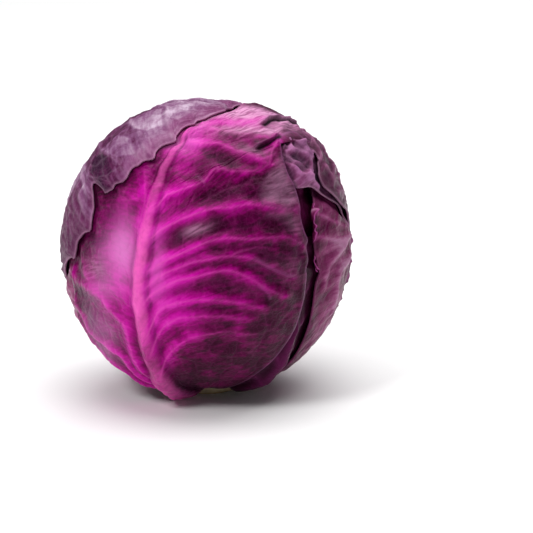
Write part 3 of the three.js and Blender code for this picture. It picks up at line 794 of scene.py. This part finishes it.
# Lighter and darker patches of tone, among them painted sheen near the top and painted shade at the foot.
patch.stain("glow", [
    (-18, 10, 8, 17, 0, 0.3), (-28, -3, 10, 6, 0, 0.2), (2, 3, 5, 16, 0, 0.2), (30, 40, 8, 4, 0, 0.15),
    (32, 74, 22, 14, 0, 0.45), (-30, -38, 12, 12, 0, 0.2), (24, 52, 18, 6, 0, -0.08),
    (8, -10, 9, 14, 0, 0.25), (7, 69, 5, 6, 0, 0.35), (24, 65.5, 9, 3, 0, -0.3), (39, 50, 8, 5, 0, 0.12),
    (5, -53, 7, 9, 0, -0.45), (3, 57, 9, 7, 0, 0.35),
])
# Darker beside the midrib at its foot and near its tip: painted shade along its sides.
glow *= 1 - bell(patch.rib_off, 7) * np.interp(
    patch.climb, [0, 0.28, 0.42, 0.62, 0.72, 1], [0.6, 0.5, 0, 0, 0.25, 0.4]
)
# Pinker patches, and painted highlights left of the midrib where the light from the front left falls.
patch.stain("flush_and_highlight", [
    (-13.5, 12, 6.5, 12, 12, 0.75), (3, 58, 9, 6, 0, 0.35), (-22, 8, 7, 9, 10, 0.3),
    (-24, -5, 9, 6, 20, 0.35), (1, 8, 3, 14, 0, 0.25), (-33, -34, 9, 16, 0, 0.3), (-24, -22, 8, 8, 0, 0.2),
])
# Dark blotches and painted shade in the valleys between the side ribs.
patch.stain("blotch_and_shade", [
    (9, 19, 8, 3, 25, 0.85), (14, 8.6, 7, 2, 20, 0.7), (10, -1.8, 7, 2, 20, 0.6), (-21, 25, 7, 6, 0, 0.5),
    (10, 29, 6, 4, 10, 0.4), (19, -9, 9, 2.5, 0, 0.6), (-9, 47, 5, 5, 0, 0.6), (-35, 8, 4, 7, 0, 0.4),
    (30, 25, 10, 3, 0, 0.5), (36, 13, 8, 2, 0, 0.45), (16, 48, 7, 3, 0, 0.4), (-38, 24, 6, 8, 0, 0.4),
    (26, 1, 12, 3, 0, 0.4), (26, -16, 12, 3, 0, 0.3), (30, 36, 12, 4, 0, 0.3), (24, 65, 9, 2.5, 0, 0.4),
    (4, -51, 3.5, 9, 0, 0.5),
])
patch.tissue["blotch_and_shade"] *= 1 - 0.85 * patch.ridge * (1 - bell(patch.rib_off, 12))
patch.stain("shade", [(4, -57, 6, 13, 0, 0.5)])
# Wax dust, and painted sheen of the overhead light across the top of the leaf.
patch.stain("bloom_and_sheen", [
    (15, 21.5, 5, 2, 20, 0.45), (-29, 2, 6, 4, 20, 0.3), (30, 67.5, 14, 3.2, 3, 0.8),
    (28, 81, 20, 7, 0, 1.3), (52, 84, 12, 10, 0, 0.6), (34, 56, 8, 3, -10, 0.3), (42, 70, 6, 4.5, 0, 0.6),
    (7, 70, 5, 5, 0, 0.4),
])
# Flaps where the margin curves away: slightly raised, with painted sheen on them and painted shade along
# their edges.
for amount, corners in FRONT_FLAPS:
    deep = patch.within(corners)
    patch.tissue["bloom_and_sheen"] += amount * ease(-4, 5, deep)
    patch.height += 0.7 * ease(-0.8, 1.0, deep)
    patch.tissue["blotch_and_shade"] += 0.8 * bell(deep + 1.2, 1.0)
patch.ledge([(35, 57.2), (38.3, 59.7), (41.8, 62), (46.9, 66.6)], rise=2.6, reach=7)
patch.ledge(
    [(35, 70.5), (36.8, 72.4), (38.8, 74.4), (40.7, 78.6), (42.7, 82), (46.2, 84), (50.3, 84.7), (62, 86)],
    rise=2.6, reach=6, crease_shade=1.3,
)
patch.ledge([(36, 11), (38.4, 9.5), (43.8, 5.5), (49.5, 2.1), (56.2, -0.9)], rise=0.9, reach=5, crease_shade=0.3)
patch.ledge([(38, 0), (39.3, -1.6), (42.2, -4.7), (43.7, -8.8)], rise=1.0, reach=4, crease_shade=0.4)
patch.ledge([(12, 43), (14.5, 41.3), (16.5, 38.5)], rise=-0.8, reach=3, crease_shade=0.25)
rolled, _, _ = patch.near([(47.2, 67.6), (47.7, 73.8), (53.4, 84.5)])
patch.height += 1.4 * bell(rolled, 1.8)
patch.add_quilting(7, 0.35, seed=48, line=0.04)
patch.height += 2.4 * bell(np.hypot(patch.x - 26, patch.y - 92), 14)
patch.add_ripple(0.5, length=12, seed=47)
finish_leaf(
    blade_mesh(patch),
    waxy_leaf(
        "waxy_front_leaf", ["#30001c", "#640044", "#9a0074", "#c40a9c", "#d62cb0"],
        rib="#ee60ba", vein="#e054b2", bloom_and_sheen="#dc9cc6", flush_and_highlight="#e080ca", blotch_and_shade="#3c022c", edge="#a8609a",
        mottle=0.36,
    ),
    "front_leaf",
)

# Shoulder leaf
# A leaf from the right of the back, folded lengthwise where it turns down over the crumpled leaf.
shoulder = Leaf(
    "shoulder_leaf", (140, 15),
    left=[
        (-30, -52), (-40, -26), (-45, -8), (-50, 5), (-57.2, 12.9), (-61.1, 23.6), (-63, 31),
        (-60.5, 36), (-58.5, 36.7), (-54.9, 37.5), (-53.3, 38.2), (-50, 37.7), (-46, 41), (-34, 47),
        (-10, 53),
    ],
    right=[(30, -52), (43, -25), (50, 0), (43, 25), (25, 43), (8, 51)],
    midrib=[(2, -40), (3, 0), (2, 30), (0, 52)],
    flare=[0, 0.3, 0.8, 1.0, 1.0, 1, 0.5, 0.5, 0.6, 0.6, 0.5, 0.3, 0], uneven=(0, 0.025),
)
SHOULDER_FOLDS = [
    ([(-30, 31), (-32.6, 29.6), (-38.8, 25.1), (-49.7, 25.6), (-57.8, 25.5)], 1.0),
    ([(-30, 24), (-37, 23.3), (-48.4, 23.8), (-58.3, 25.9)], 0.9),
    ([(-36, 22), (-39.5, 19.1), (-42.5, 13.7), (-44.4, 9.9)], 0.9),
    ([(-20, 44), (-25.3, 39), (-27.9, 35.9), (-31.2, 31.7), (-34.4, 27.2), (-37.2, 23.1)], 0.9),
    ([(-52.3, 34.3), (-52.4, 28.8), (-55.4, 25.8)], 0.9),
    ([(-28, 44), (-36, 38), (-44, 36), (-50, 37)], 0.8),
    ([(-48, 14), (-52, 18), (-57, 21)], 0.7),
]
patch = Patch(shoulder, 200, (130, 60))
patch.tissue["glow"] += 0.36 + 0.3 * bell(patch.rib_off, 14)
patch.add_midrib(**OUTER_RIB)
patch.add_veins(side_veins(shoulder, 8, seed=35), half_width=2.8, height=0.6)
patch.add_veins(SHOULDER_FOLDS, half_width=1.5, height=1.6, line=0.5, line_width=0.8)
# Painted shade in the hollows beside the folds.
patch.stain("blotch_and_shade", [
    (-44, 31, 5, 4, 0, 0.7), (-50, 20, 5, 3, 0, 0.6), (-34, 34, 4, 4, 0, 0.5), (-56, 30, 3, 3, 0, 0.4),
])
patch.add_quilting(5, 0.4, seed=50)
creases = patch.creases(length=15, seed=66)
patch.height += 0.4 * creases
# Crests of the creases painted lighter: painted light.
patch.tissue["glow"] += 0.25 * creases - 0.2
patch.add_ripple(0.45, length=12, seed=49)
finish_leaf(
    blade_mesh(patch),
    waxy_leaf(
        "waxy_shoulder_leaf", ["#300a22", "#4c1738", "#6c3255", "#94577d"],
        rib="#b67aa0", vein="#c390b0", bloom_and_sheen="#9c7f98", grain=1.2,
    ),
    "shoulder_leaf",
)

# Left leaf
# A smooth leaf of which only a strip shows on the left, past the margin of the front leaf.
left_side = Leaf(
    "left_leaf", (-105, -12),
    left=[(-28, -48), (-45, -26), (-52, 0), (-47, 27), (-29, 50), (-8, 59)],
    right=[(28, -48), (45, -26), (50, 0), (46, 26), (28, 49), (8, 59)],
    midrib=[(-2, -40), (-3, 0), (-2, 35), (0, 60)],
    flare=[0, 0.3, 0.6, 0.8, 0.6, 0.5, 0.5, 0.5, 0.5, 0.5, 0.5, 0.3, 0], uneven=(0.02, 0.02),
)
patch = Patch(left_side, 170, (80, 80))
patch.tissue["glow"] += 0.36 + 0.35 * bell(patch.rib_off, 16)
patch.add_midrib(**OUTER_RIB)
patch.add_veins(side_veins(left_side, 7, seed=37), half_width=3.2, height=1.3)
patch.add_quilting(8, 0.5, seed=57)
patch.add_ripple(0.5, length=11, seed=51)
finish_leaf(
    blade_mesh(patch),
    waxy_leaf(
        "waxy_left_leaf", ["#3c0c2c", "#641843", "#8b3268", "#ad5588"],
        rib="#c479a6", vein="#c98fb2", bloom_and_sheen="#9c7f98",
    ),
    "left_leaf",
)

# Crumpled leaf
# A limp leaf that has puckered as it dried, in the angle between the front and shoulder leaves.
crumpled = Leaf(
    "crumpled_leaf", (112, 14),
    left=[
        (-23, -47), (-24.5, -18), (-25, -5), (-25.5, 1), (-29.5, 7.1), (-35, 11.5), (-39.6, 15.4),
        (-44.4, 20.8), (-48.1, 25.5), (-51, 27.6), (-53.5, 29.6), (-53.1, 31.2), (-52, 37), (-46, 45),
        (-30, 53), (-9, 61),
    ],
    right=[(30, -52), (42, -24), (48, 0), (46, 20), (39, 39), (23, 55), (8, 61)],
    midrib=[(3, -45), (4, -10), (3, 25), (0, 62)],
    flare=[0, 0.4, 0.5, 0.8, 1.4, 0.6, 0.4, 0.4, 0.4, 0.4, 0.4, 0.3, 0],
)
CRUMPLED_FOLDS = [
    ([(-44, 47), (-38.9, 45.3), (-38.8, 41.1), (-35.9, 36.9), (-33.5, 32.8)], 1.0),
    ([(-34.8, 47), (-32.6, 41.9), (-31.8, 36.4), (-30.9, 31.1)], 0.8),
    ([(-44.1, 42.4), (-45.4, 36.2), (-43.6, 31.6), (-43.4, 25.6)], 0.8),
    ([(-31.4, 28.5), (-35.3, 28.8), (-36, 27), (-38, 22)], 1.0),
    ([(-50, 31), (-44, 29), (-40, 30), (-36.5, 34)], 0.6),
]
patch = Patch(crumpled, 220, (130, 50))
patch.add_midrib(**OUTER_RIB)
patch.add_veins(side_veins(crumpled, 9, seed=39), half_width=2.2, height=0.8, line=0.3)
patch.add_veins(CRUMPLED_FOLDS, half_width=1.5, height=1.5, line=0.6, line_width=0.8)
creases = patch.creases(length=17, seed=52) + 0.7 * patch.creases(length=9, seed=53)
creases *= 0.3 + 0.7 * ease(-16, -30, patch.x)
patch.height += 2.0 * creases + 0.8 * ripple(patch.spots, 12, 56)
# Crests of the puckers painted lighter and the hollows between them darker: painted light and shade.
patch.tissue["glow"] += 0.16 + 0.3 * bell(patch.rib_off, 14) + 0.45 * creases
patch.tissue["blotch_and_shade"] += 0.4 * (1 - ease(0.1, 0.6, creases))
patch.add_quilting(4.5, 0.4, seed=65, line=0.2)
# Painted shade in the hollows between the folds.
patch.stain("blotch_and_shade", [(-42, 37, 5, 4, 0, 0.6), (-38, 24, 5, 4, 0, 0.6), (-34, 38, 3, 5, 0, 0.4)])
finish_leaf(
    blade_mesh(patch),
    waxy_leaf(
        "limp_crumpled_leaf", ["#320e29", "#582245", "#813f6b", "#ab689b"],
        rib="#b07a9e", vein="#b880a8", bloom_and_sheen="#968aa0", blotch_and_shade="#38243a", mottle=0.5, grain=1.6,
    ),
    "crumpled_leaf",
)

# Right leaf
# A firm smooth leaf at the right. Its left margin has dried and rolled back in a ribbon, and lower
# down a small torn corner of it stands up in the gap.
right_side = Leaf(
    "right_leaf", (92, -5),
    left=[
        (-26, -46), (-36, -22), (-39.6, -5.4), (-37.8, 0.7), (-39.6, 5.2), (-41, 13.3), (-38.6, 20.7),
        (-38.1, 26.5), (-34.1, 32), (-22, 42), (-8, 49),
    ],
    right=[(28, -48), (45, -26), (54, 0), (48, 27), (28, 48), (8, 54)],
    midrib=[(3, -40), (4, 0), (2, 30), (0, 53)],
    flare=[0, 0.3, 1.2, 0.6, 0.6, 0.4, 0.4, 0.4, 0.5, 0.5, 0.5, 0.3, 0],
)
RIGHT_VEINS = [
    ([(-46, 30), (-37.7, 27.2), (-32.1, 24.4), (-26, 20.4), (-12.3, 14.7)], 0.8),
    ([(-42.1, 17.7), (-37.8, 16.5), (-32.9, 15), (-20, 10)], 0.6),
]
RIGHT_RIDGES = [
    ([(8, 18), (-2.3, 13), (-17.6, 10.4), (-25.9, 7.2), (-30.5, 4), (-32.8, 1.9), (-34, -6)], 1.0),
    ([(8, 8), (-4, 5.3), (-18, 2), (-23.9, -0.3), (-24, -5.6), (-20, -20)], 1.0),
]
patch = Patch(right_side, 190, (110, 60))
shaded = ease(14, 2, patch.inside) * (patch.x < 0)
patch.tissue["glow"] += 0.32 + 0.25 * bell(patch.rib_off, 12) - 0.25 * shaded
patch.add_midrib(**OUTER_RIB)
patch.add_veins(side_veins(right_side, 7, seed=53), half_width=3.0, height=0.3, line=0.15)
patch.add_veins(RIGHT_VEINS, half_width=1.6, height=0.5, line=0.6)
patch.add_veins(RIGHT_RIDGES, half_width=2.6, height=1.8, line=0.3)
patch.add_quilting(9, 0.3, seed=58, line=0.1)
patch.add_ripple(0.4, length=11, seed=54)
finish_leaf(
    blade_mesh(patch),
    waxy_leaf(
        "waxy_right_leaf", ["#2a0018", "#520a36", "#722452", "#8f4672", "#b07a9c"],
        rib="#c08cac", vein="#b8509a", bloom_and_sheen="#996b7d", edge="#8a4a70",
    ),
    "right_leaf",
)


SCRAP_THICKNESS = 0.5


def dried_scrap(name, middle, width, curl, seed):
    """A scrap that rolls up and outwards from the margin, along a line on the leaf."""
    line = flowing(middle, step=0.5)
    along = np.diff(line, axis=0, append=2 * line[-1:] - line[-2:-1])
    across = np.stack([-along[:, 1], along[:, 0]], -1) / np.linalg.norm(along, axis=1)[:, None]
    t = np.linspace(0, 1, len(line))[:, None]
    turn = np.linspace(0, 1, 19)
    crinkle = ripple(np.stack([line[:, 0], line[:, 1], 0 * t[:, 0]], -1) * MM_PER_DEGREE, 4, seed)[:, None]
    wide = np.interp(t, *width) * (1 + 0.25 * crinkle)
    bend = curl * turn * (1 + 0.15 * crinkle)
    reach = (np.sin(bend) / curl * wide / MM_PER_DEGREE)[..., None]
    xy = line[:, None] + across[:, None] * reach
    d = right_side.directions(xy[..., 0], xy[..., 1])
    depth, _ = under_others(d.reshape(-1, 3))
    rise = (1 - np.cos(bend)) / curl * wide + 0.5 * crinkle * turn
    lying = skin_radius(d) - depth.reshape(bend.shape) + PITCH - BLADE + rise
    face = d * lying[..., None]
    normal = np.cross(np.gradient(face, axis=0), np.gradient(face, axis=1))
    other = face + SCRAP_THICKNESS * normal / np.linalg.norm(normal, axis=2)[..., None]
    grid = np.arange(bend.size).reshape(bend.shape)
    rim = around(grid)
    sides = np.stack([rim, rim + grid.size, np.roll(rim, -1) + grid.size, np.roll(rim, -1)], -1)
    quads = squares(grid, TURNED)
    layers = {key: np.zeros(2 * grid.size) for key in TISSUES}
    layers["glow"] += np.tile(np.clip(0.35 + 0.4 * crinkle + 0 * bend, 0, 1).ravel(), 2)
    layers["vein"] += np.tile(0.8 * ease(0.82, 0.95, turn), 2 * len(line))
    points = np.vstack([face.reshape(-1, 3), other.reshape(-1, 3)])
    faces = [quads[:, ::-1], quads + grid.size, sides]
    piece = skin_mesh(name, points, faces, layers, points * MM)
    piece.data.materials.append(bpy.data.materials["waxy_right_leaf"])
    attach(piece, "root")


dried_scrap(
    "rolled_margin", [(-40.4, 14.5), (-39, 19), (-38.3, 23), (-37.8, 26.5), (-35.2, 30.6)],
    width=([0, 0.25, 0.7, 1], [2, 7, 6, 2]), curl=2.2, seed=62,
)
dried_scrap(
    "torn_corner", [(-38.6, 1.5), (-39.2, 4), (-39.9, 6.5), (-40.3, 9)],
    width=([0, 0.5, 1], [1.5, 6, 1.5]), curl=1.3, seed=63,
)

# Inner leaf
# A young leaf deep in the gap beside the front leaf, firm, its own deep purple darkened almost to black as
# painted shade of the gap.
inside_leaf = Leaf(
    "inner_leaf", (42, -20),
    left=[(-22, -38), (-33, -19), (-36, 0), (-30, 18), (-17, 30), (-5, 33)],
    right=[(22, -38), (33, -19), (38, 0), (32, 18), (17, 30), (5, 33)],
    midrib=[(2, -30), (2, 0), (0, 34)],
    flare=[0, 0.4, 0.4, 0.4, 0.4, 0.4, 0.4, 0.4, 0.4, 0.4, 0.4, 0.4, 0],
)
patch = Patch(inside_leaf, 110, (50, 50))
patch.tissue["glow"] += 0.2
patch.add_midrib(**OUTER_RIB)
patch.add_veins(side_veins(inside_leaf, 5, seed=55), half_width=3.0, height=1.0)
finish_leaf(
    blade_mesh(patch),
    waxy_leaf(
        "shaded_young_inner_leaf", ["#1c0110", "#2e041d", "#450a32", "#5c1447"],
        rib="#5c1447", vein="#6b2456", bloom_and_sheen="#6b2456", edge="#2e041d",
    ),
    "inner_leaf",
)

# Heart
# The tight ball of the youngest leaves, folded over each other without a gap, open below for the
# core of the stem.
HEART_FOLDS = 5
HEART_SIDES, HEART_RINGS = 240, 150
CROWN_HOLE, MOUTH = 0.6, 164.5
MOUTH_STEP, MOUTH_DRAW = 7, 0.86


def tube_faces(rings, sides, turned):
    """Faces of a closed tube: first its rings of corners, then the middle of its first end and of
    its last."""
    grid = np.arange(rings * sides).reshape(rings, sides)
    wrapped = np.hstack([grid, grid[:, :1]])
    first, last = np.full(sides, grid.size), np.full(sides, grid.size + 1)
    fans = np.vstack([
        np.stack([first, wrapped[0, 1:], wrapped[0, :-1]], -1),
        np.stack([last, wrapped[-1, :-1], wrapped[-1, 1:]], -1),
    ])
    if turned:
        return [squares(wrapped, TURNED), fans[:, [0, 2, 1]]]
    return [squares(wrapped), fans]


angles = np.linspace(CROWN_HOLE, MOUTH, HEART_RINGS), np.arange(HEART_SIDES) * 360 / HEART_SIDES
pol, longitude = [g.ravel() for g in np.meshgrid(*angles, indexing="ij")]
d = np.stack([
    np.sin(pol * DEGREE) * np.sin(longitude * DEGREE),
    -np.sin(pol * DEGREE) * np.cos(longitude * DEGREE),
    np.cos(pol * DEGREE),
], -1)
depth, bare = under_others(d)
fold = (longitude / 360 * HEART_FOLDS + pol / 130) % 1
step_in = 1.3 * fold * ease(6, 26, pol) * (1 - ease(0.93, 1.0, fold))
radius = skin_radius(d) - depth - PITCH - step_in + 0.35 * ripple(d * HEAD_RADIUS, 6, 61) * bare
outer = d * radius[:, None]
mouth = outer[-HEART_SIDES:] * (MOUTH_DRAW, MOUTH_DRAW, 1)
wall = np.vstack([mouth + (0, 0, MOUTH_STEP * k) for k in (1, 2)])
points = np.vstack([outer, wall, [outer[:HEART_SIDES].mean(0)], [wall[-HEART_SIDES:].mean(0)]])
faces = tube_faces(HEART_RINGS + 2, HEART_SIDES, turned=True)
layers = {key: np.full(len(points), 0.3 if key == "glow" else 0.0) for key in TISSUES}
finish_leaf(
    skin_mesh("heart", points, faces, layers, points * MM),
    waxy_leaf(
        "young_heart_leaves", ["#2a0319", "#48082f", "#6b1650", "#8a2a6c"],
        rib="#9c4f86", vein="#9c5f90", bloom_and_sheen="#8f6a86",
    ),
    "heart",
)

# Stem
# The stalk that the leaves grow on, white and woody. It was cut across under the head for sale: the
# cut face has sunk a little and dried at its rim, and above it are the scars of leaves pulled off.
STEM_RADIUS = 17.5
STEM_SIDES, STEM_RINGS = 180, 150
FACE_MIDDLE, CORE_TOP = 0.35, 74
DRIED_RIM = 16.8
LEAF_SCARS, LEAF_TURN = 9, 137.5
STEM_PROFILE = [
    (FACE_MIDDLE, 0), (0.3, 6), (0.12, 12), (0, 15.2), (0, 16.3), (0.5, 17.2), (1.4, STEM_RADIUS),
    (8, STEM_RADIUS), (15, 15.2), (30, 12.5), (46, 10), (60, 7.4), (70, 4.2), (CORE_TOP, 0),
]
run = np.concatenate([[0], np.cumsum(np.hypot(*np.diff(np.array(STEM_PROFILE), axis=0).T))])
fine = np.linspace(0, run[-1], STEM_RINGS)
height, radius = [np.interp(fine, run, [p[k] for p in STEM_PROFILE])[:, None] for k in (0, 1)]
turns = np.arange(STEM_SIDES) * 2 * math.pi / STEM_SIDES
spots = np.stack([radius * np.sin(turns), -radius * np.cos(turns), height + 0 * turns], -1)
flat = spots.reshape(-1, 3)
scar = np.zeros((STEM_RINGS, STEM_SIDES))
for k in range(LEAF_SCARS):
    off = (turns - math.radians(LEAF_TURN * k) + math.pi) % (2 * math.pi) - math.pi
    arc = off * STEM_RADIUS
    scar = np.maximum(scar, bell(height - 2.4 - 0.55 * k + 0.04 * arc**2, 0.45) * bell(arc, 5.5))
uneven = 0.3 * ripple(flat, 9, 64).reshape(scar.shape) * np.clip(height / 3, 0, 1) - 0.5 * scar
spots[..., :2] *= (1 + uneven / np.maximum(radius, 3))[..., None]
points = np.vstack([spots[1:-1].reshape(-1, 3), [[0, 0, FACE_MIDDLE]], [[0, 0, CORE_TOP]]])
points -= (0, 0, CENTRE_HEIGHT)
rim = bell(np.hypot(points[:, 0], points[:, 1]) - DRIED_RIM, 1.6) * bell(points[:, 2] + CENTRE_HEIGHT, 3)
scarred = np.concatenate([scar[1:-1].ravel(), [0, 0]])
faces = tube_faces(STEM_RINGS - 2, STEM_SIDES, turned=False)
stem = skin_mesh("stem", points, faces, {"dried": np.maximum(rim, 0.8 * scarred)}, points * MM)
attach(stem, "root")
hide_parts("stem")


def cut_stalk(name, flesh, dry, fibre):
    """Woody stalk: pale flesh with fine fibres that run up it, browned where it has dried."""
    material = bpy.data.materials.new(name)
    material.use_nodes = True
    tree = material.node_tree
    shader = tree.nodes["Principled BSDF"]
    here = node(tree, "ShaderNodeTexCoord").outputs["Object"]
    drawn = node(tree, "ShaderNodeVectorMath", {"operation": "MULTIPLY"}, {0: here, 1: (1.0, 1.0, 0.12)})
    fibres = node(
        tree, "ShaderNodeTexNoise", {}, {"Vector": drawn.outputs[0], "Scale": 900.0, "Detail": 4.0}
    ).outputs["Fac"]
    dried = node(tree, "ShaderNodeAttribute", {"attribute_name": "dried"}).outputs["Fac"]
    base = colour(flesh)
    for share, tone in ((fibres, fibre), (dried, dry)):
        mixed = {0: share, 6: base, 7: colour(tone)}
        base = node(tree, "ShaderNodeMix", {"data_type": "RGBA"}, mixed).outputs[2]
    tree.links.new(base, shader.inputs["Base Color"])
    bump = node(tree, "ShaderNodeBump", {}, {"Strength": 0.5, "Distance": 0.0003, "Height": fibres})
    tree.links.new(bump.outputs["Normal"], shader.inputs["Normal"])
    shader.inputs["Roughness"].default_value = 0.65
    return material


stem.data.materials.append(cut_stalk("cut_cabbage_stalk", "#efe6cc", "#b79b6a", "#dccda4"))


def scattered(name, build, settings, material):
    """Runs a Geometry Nodes tree with its settings and keeps the result as a plain mesh."""
    tree = bpy.data.node_groups.new(name, "GeometryNodeTree")
    for key, (kind, _) in settings.items():
        tree.interface.new_socket(key, in_out="INPUT", socket_type=kind)
    tree.interface.new_socket("Geometry", in_out="OUTPUT", socket_type="NodeSocketGeometry")
    given = tree.nodes.new("NodeGroupInput").outputs
    made = node(tree, "GeometryNodeRealizeInstances", {}, {"Geometry": build(tree, given)}).outputs[0]
    made = node(tree, "GeometryNodeSetMaterial", {}, {"Geometry": made, "Material": material}).outputs[0]
    tree.links.new(made, tree.nodes.new("NodeGroupOutput").inputs["Geometry"])
    holder = bpy.data.objects.new(name + "_holder", bpy.data.meshes.new(name + "_holder"))
    bpy.context.scene.collection.objects.link(holder)
    modifier = holder.modifiers.new("grow", "NODES")
    modifier.node_group = tree
    for item in tree.interface.items_tree:
        if item.in_out == "INPUT":
            modifier[item.identifier] = settings[item.name][1]
    seen = holder.evaluated_get(bpy.context.evaluated_depsgraph_get())
    piece = bpy.data.objects.new(name, bpy.data.meshes.new_from_object(seen))
    piece.data.materials.clear()
    piece.data.materials.append(material)
    piece.data.polygons.foreach_set("material_index", [0] * len(piece.data.polygons))
    bpy.data.objects.remove(holder)
    bpy.context.scene.collection.objects.link(piece)
    return piece


def bundle_ring(tree, given):
    ring = node(
        tree, "GeometryNodeMeshCircle", {}, {"Vertices": given["Count"], "Radius": given["Ring radius"]}
    ).outputs["Mesh"]
    bead = node(tree, "GeometryNodeMeshIcoSphere", {}, {"Radius": given["Bundle radius"], "Subdivisions": 2})
    size = node(
        tree, "FunctionNodeRandomValue", {"data_type": "FLOAT"}, {2: 0.6, 3: 1.1, "Seed": given["Seed"]}
    ).outputs[1]
    return node(
        tree, "GeometryNodeInstanceOnPoints", {},
        {"Points": ring, "Instance": bead.outputs["Mesh"], "Scale": size},
    ).outputs[0]


bundles = scattered(
    "stem_bundles", bundle_ring,
    {
        "Count": ("NodeSocketInt", 44), "Ring radius": ("NodeSocketFloat", 13.4 * MM),
        "Bundle radius": ("NodeSocketFloat", 0.62 * MM), "Seed": ("NodeSocketInt", 7),
    },
    cut_stalk("woody_bundles", "#c9b078", "#b79b6a", "#a98f5c"),
)
for corner in bundles.data.vertices:
    corner.co.z = max(corner.co.z * 0.5 + 0.3 * MM, 0.0)
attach(bundles, "root")

# Table, lights and camera
# The head stands on a plain white table under a wide overhead softbox, with a smaller softbox in
# front on the left that draws out the ribs.
bpy.ops.mesh.primitive_plane_add(size=8, location=(0, 0, 0))
table = bpy.context.active_object
table.name = "white_table"
paint = bpy.data.materials.new("matt_white_paint")
paint.use_nodes = True
painted = paint.node_tree.nodes["Principled BSDF"].inputs
painted["Base Color"].default_value = colour("#fcfcfc")
painted["Roughness"].default_value = 0.9
painted["Specular IOR Level"].default_value = 0.1
table.data.materials.append(paint)

world = bpy.data.worlds.new("white_room")
bpy.context.scene.world = world
world.use_nodes = True
world.node_tree.nodes["Background"].inputs["Color"].default_value = (1, 1, 1, 1)
world.node_tree.nodes["Background"].inputs["Strength"].default_value = 0.15


def softbox(name, place, size, power):
    light = bpy.data.lights.new(name, "AREA")
    light.shape = "SQUARE"
    light.size = size
    light.energy = power
    lamp = bpy.data.objects.new(name, light)
    lamp.location = place
    aim = Vector((0, 0, 0.08)) - Vector(place)
    lamp.rotation_euler = aim.to_track_quat("-Z", "Y").to_euler()
    bpy.context.scene.collection.objects.link(lamp)


softbox("overhead_softbox", (0.3, 0.5, 3.0), 3.6, 128)
softbox("front_left_softbox", (-0.9, -1.0, 1.3), 0.45, 15)

VIEW_ELEVATION = 14 * DEGREE
VIEW_DISTANCE = 1.3
MM_PER_PIXEL = 0.552
FRAME_PIXELS = 533
AIM_RIGHT, AIM_DOWN = 33.4 * MM, 11.6 * MM
camera = bpy.data.objects.new("camera", bpy.data.cameras.new("camera"))
bpy.context.scene.collection.objects.link(camera)
upward = np.array([0, math.sin(VIEW_ELEVATION), math.cos(VIEW_ELEVATION)])
forward = np.array([0, math.cos(VIEW_ELEVATION), -math.sin(VIEW_ELEVATION)])
aim = np.array([AIM_RIGHT, 0, CENTRE_HEIGHT * MM]) - AIM_DOWN * upward
camera.location = aim - VIEW_DISTANCE * forward
camera.rotation_euler = (math.pi / 2 - VIEW_ELEVATION, 0, 0)
camera.data.sensor_width = 36
camera.data.lens = 36 * VIEW_DISTANCE / (FRAME_PIXELS * MM_PER_PIXEL * MM)
bpy.context.scene.camera = camera
bpy.context.scene.view_settings.view_transform = "Standard"
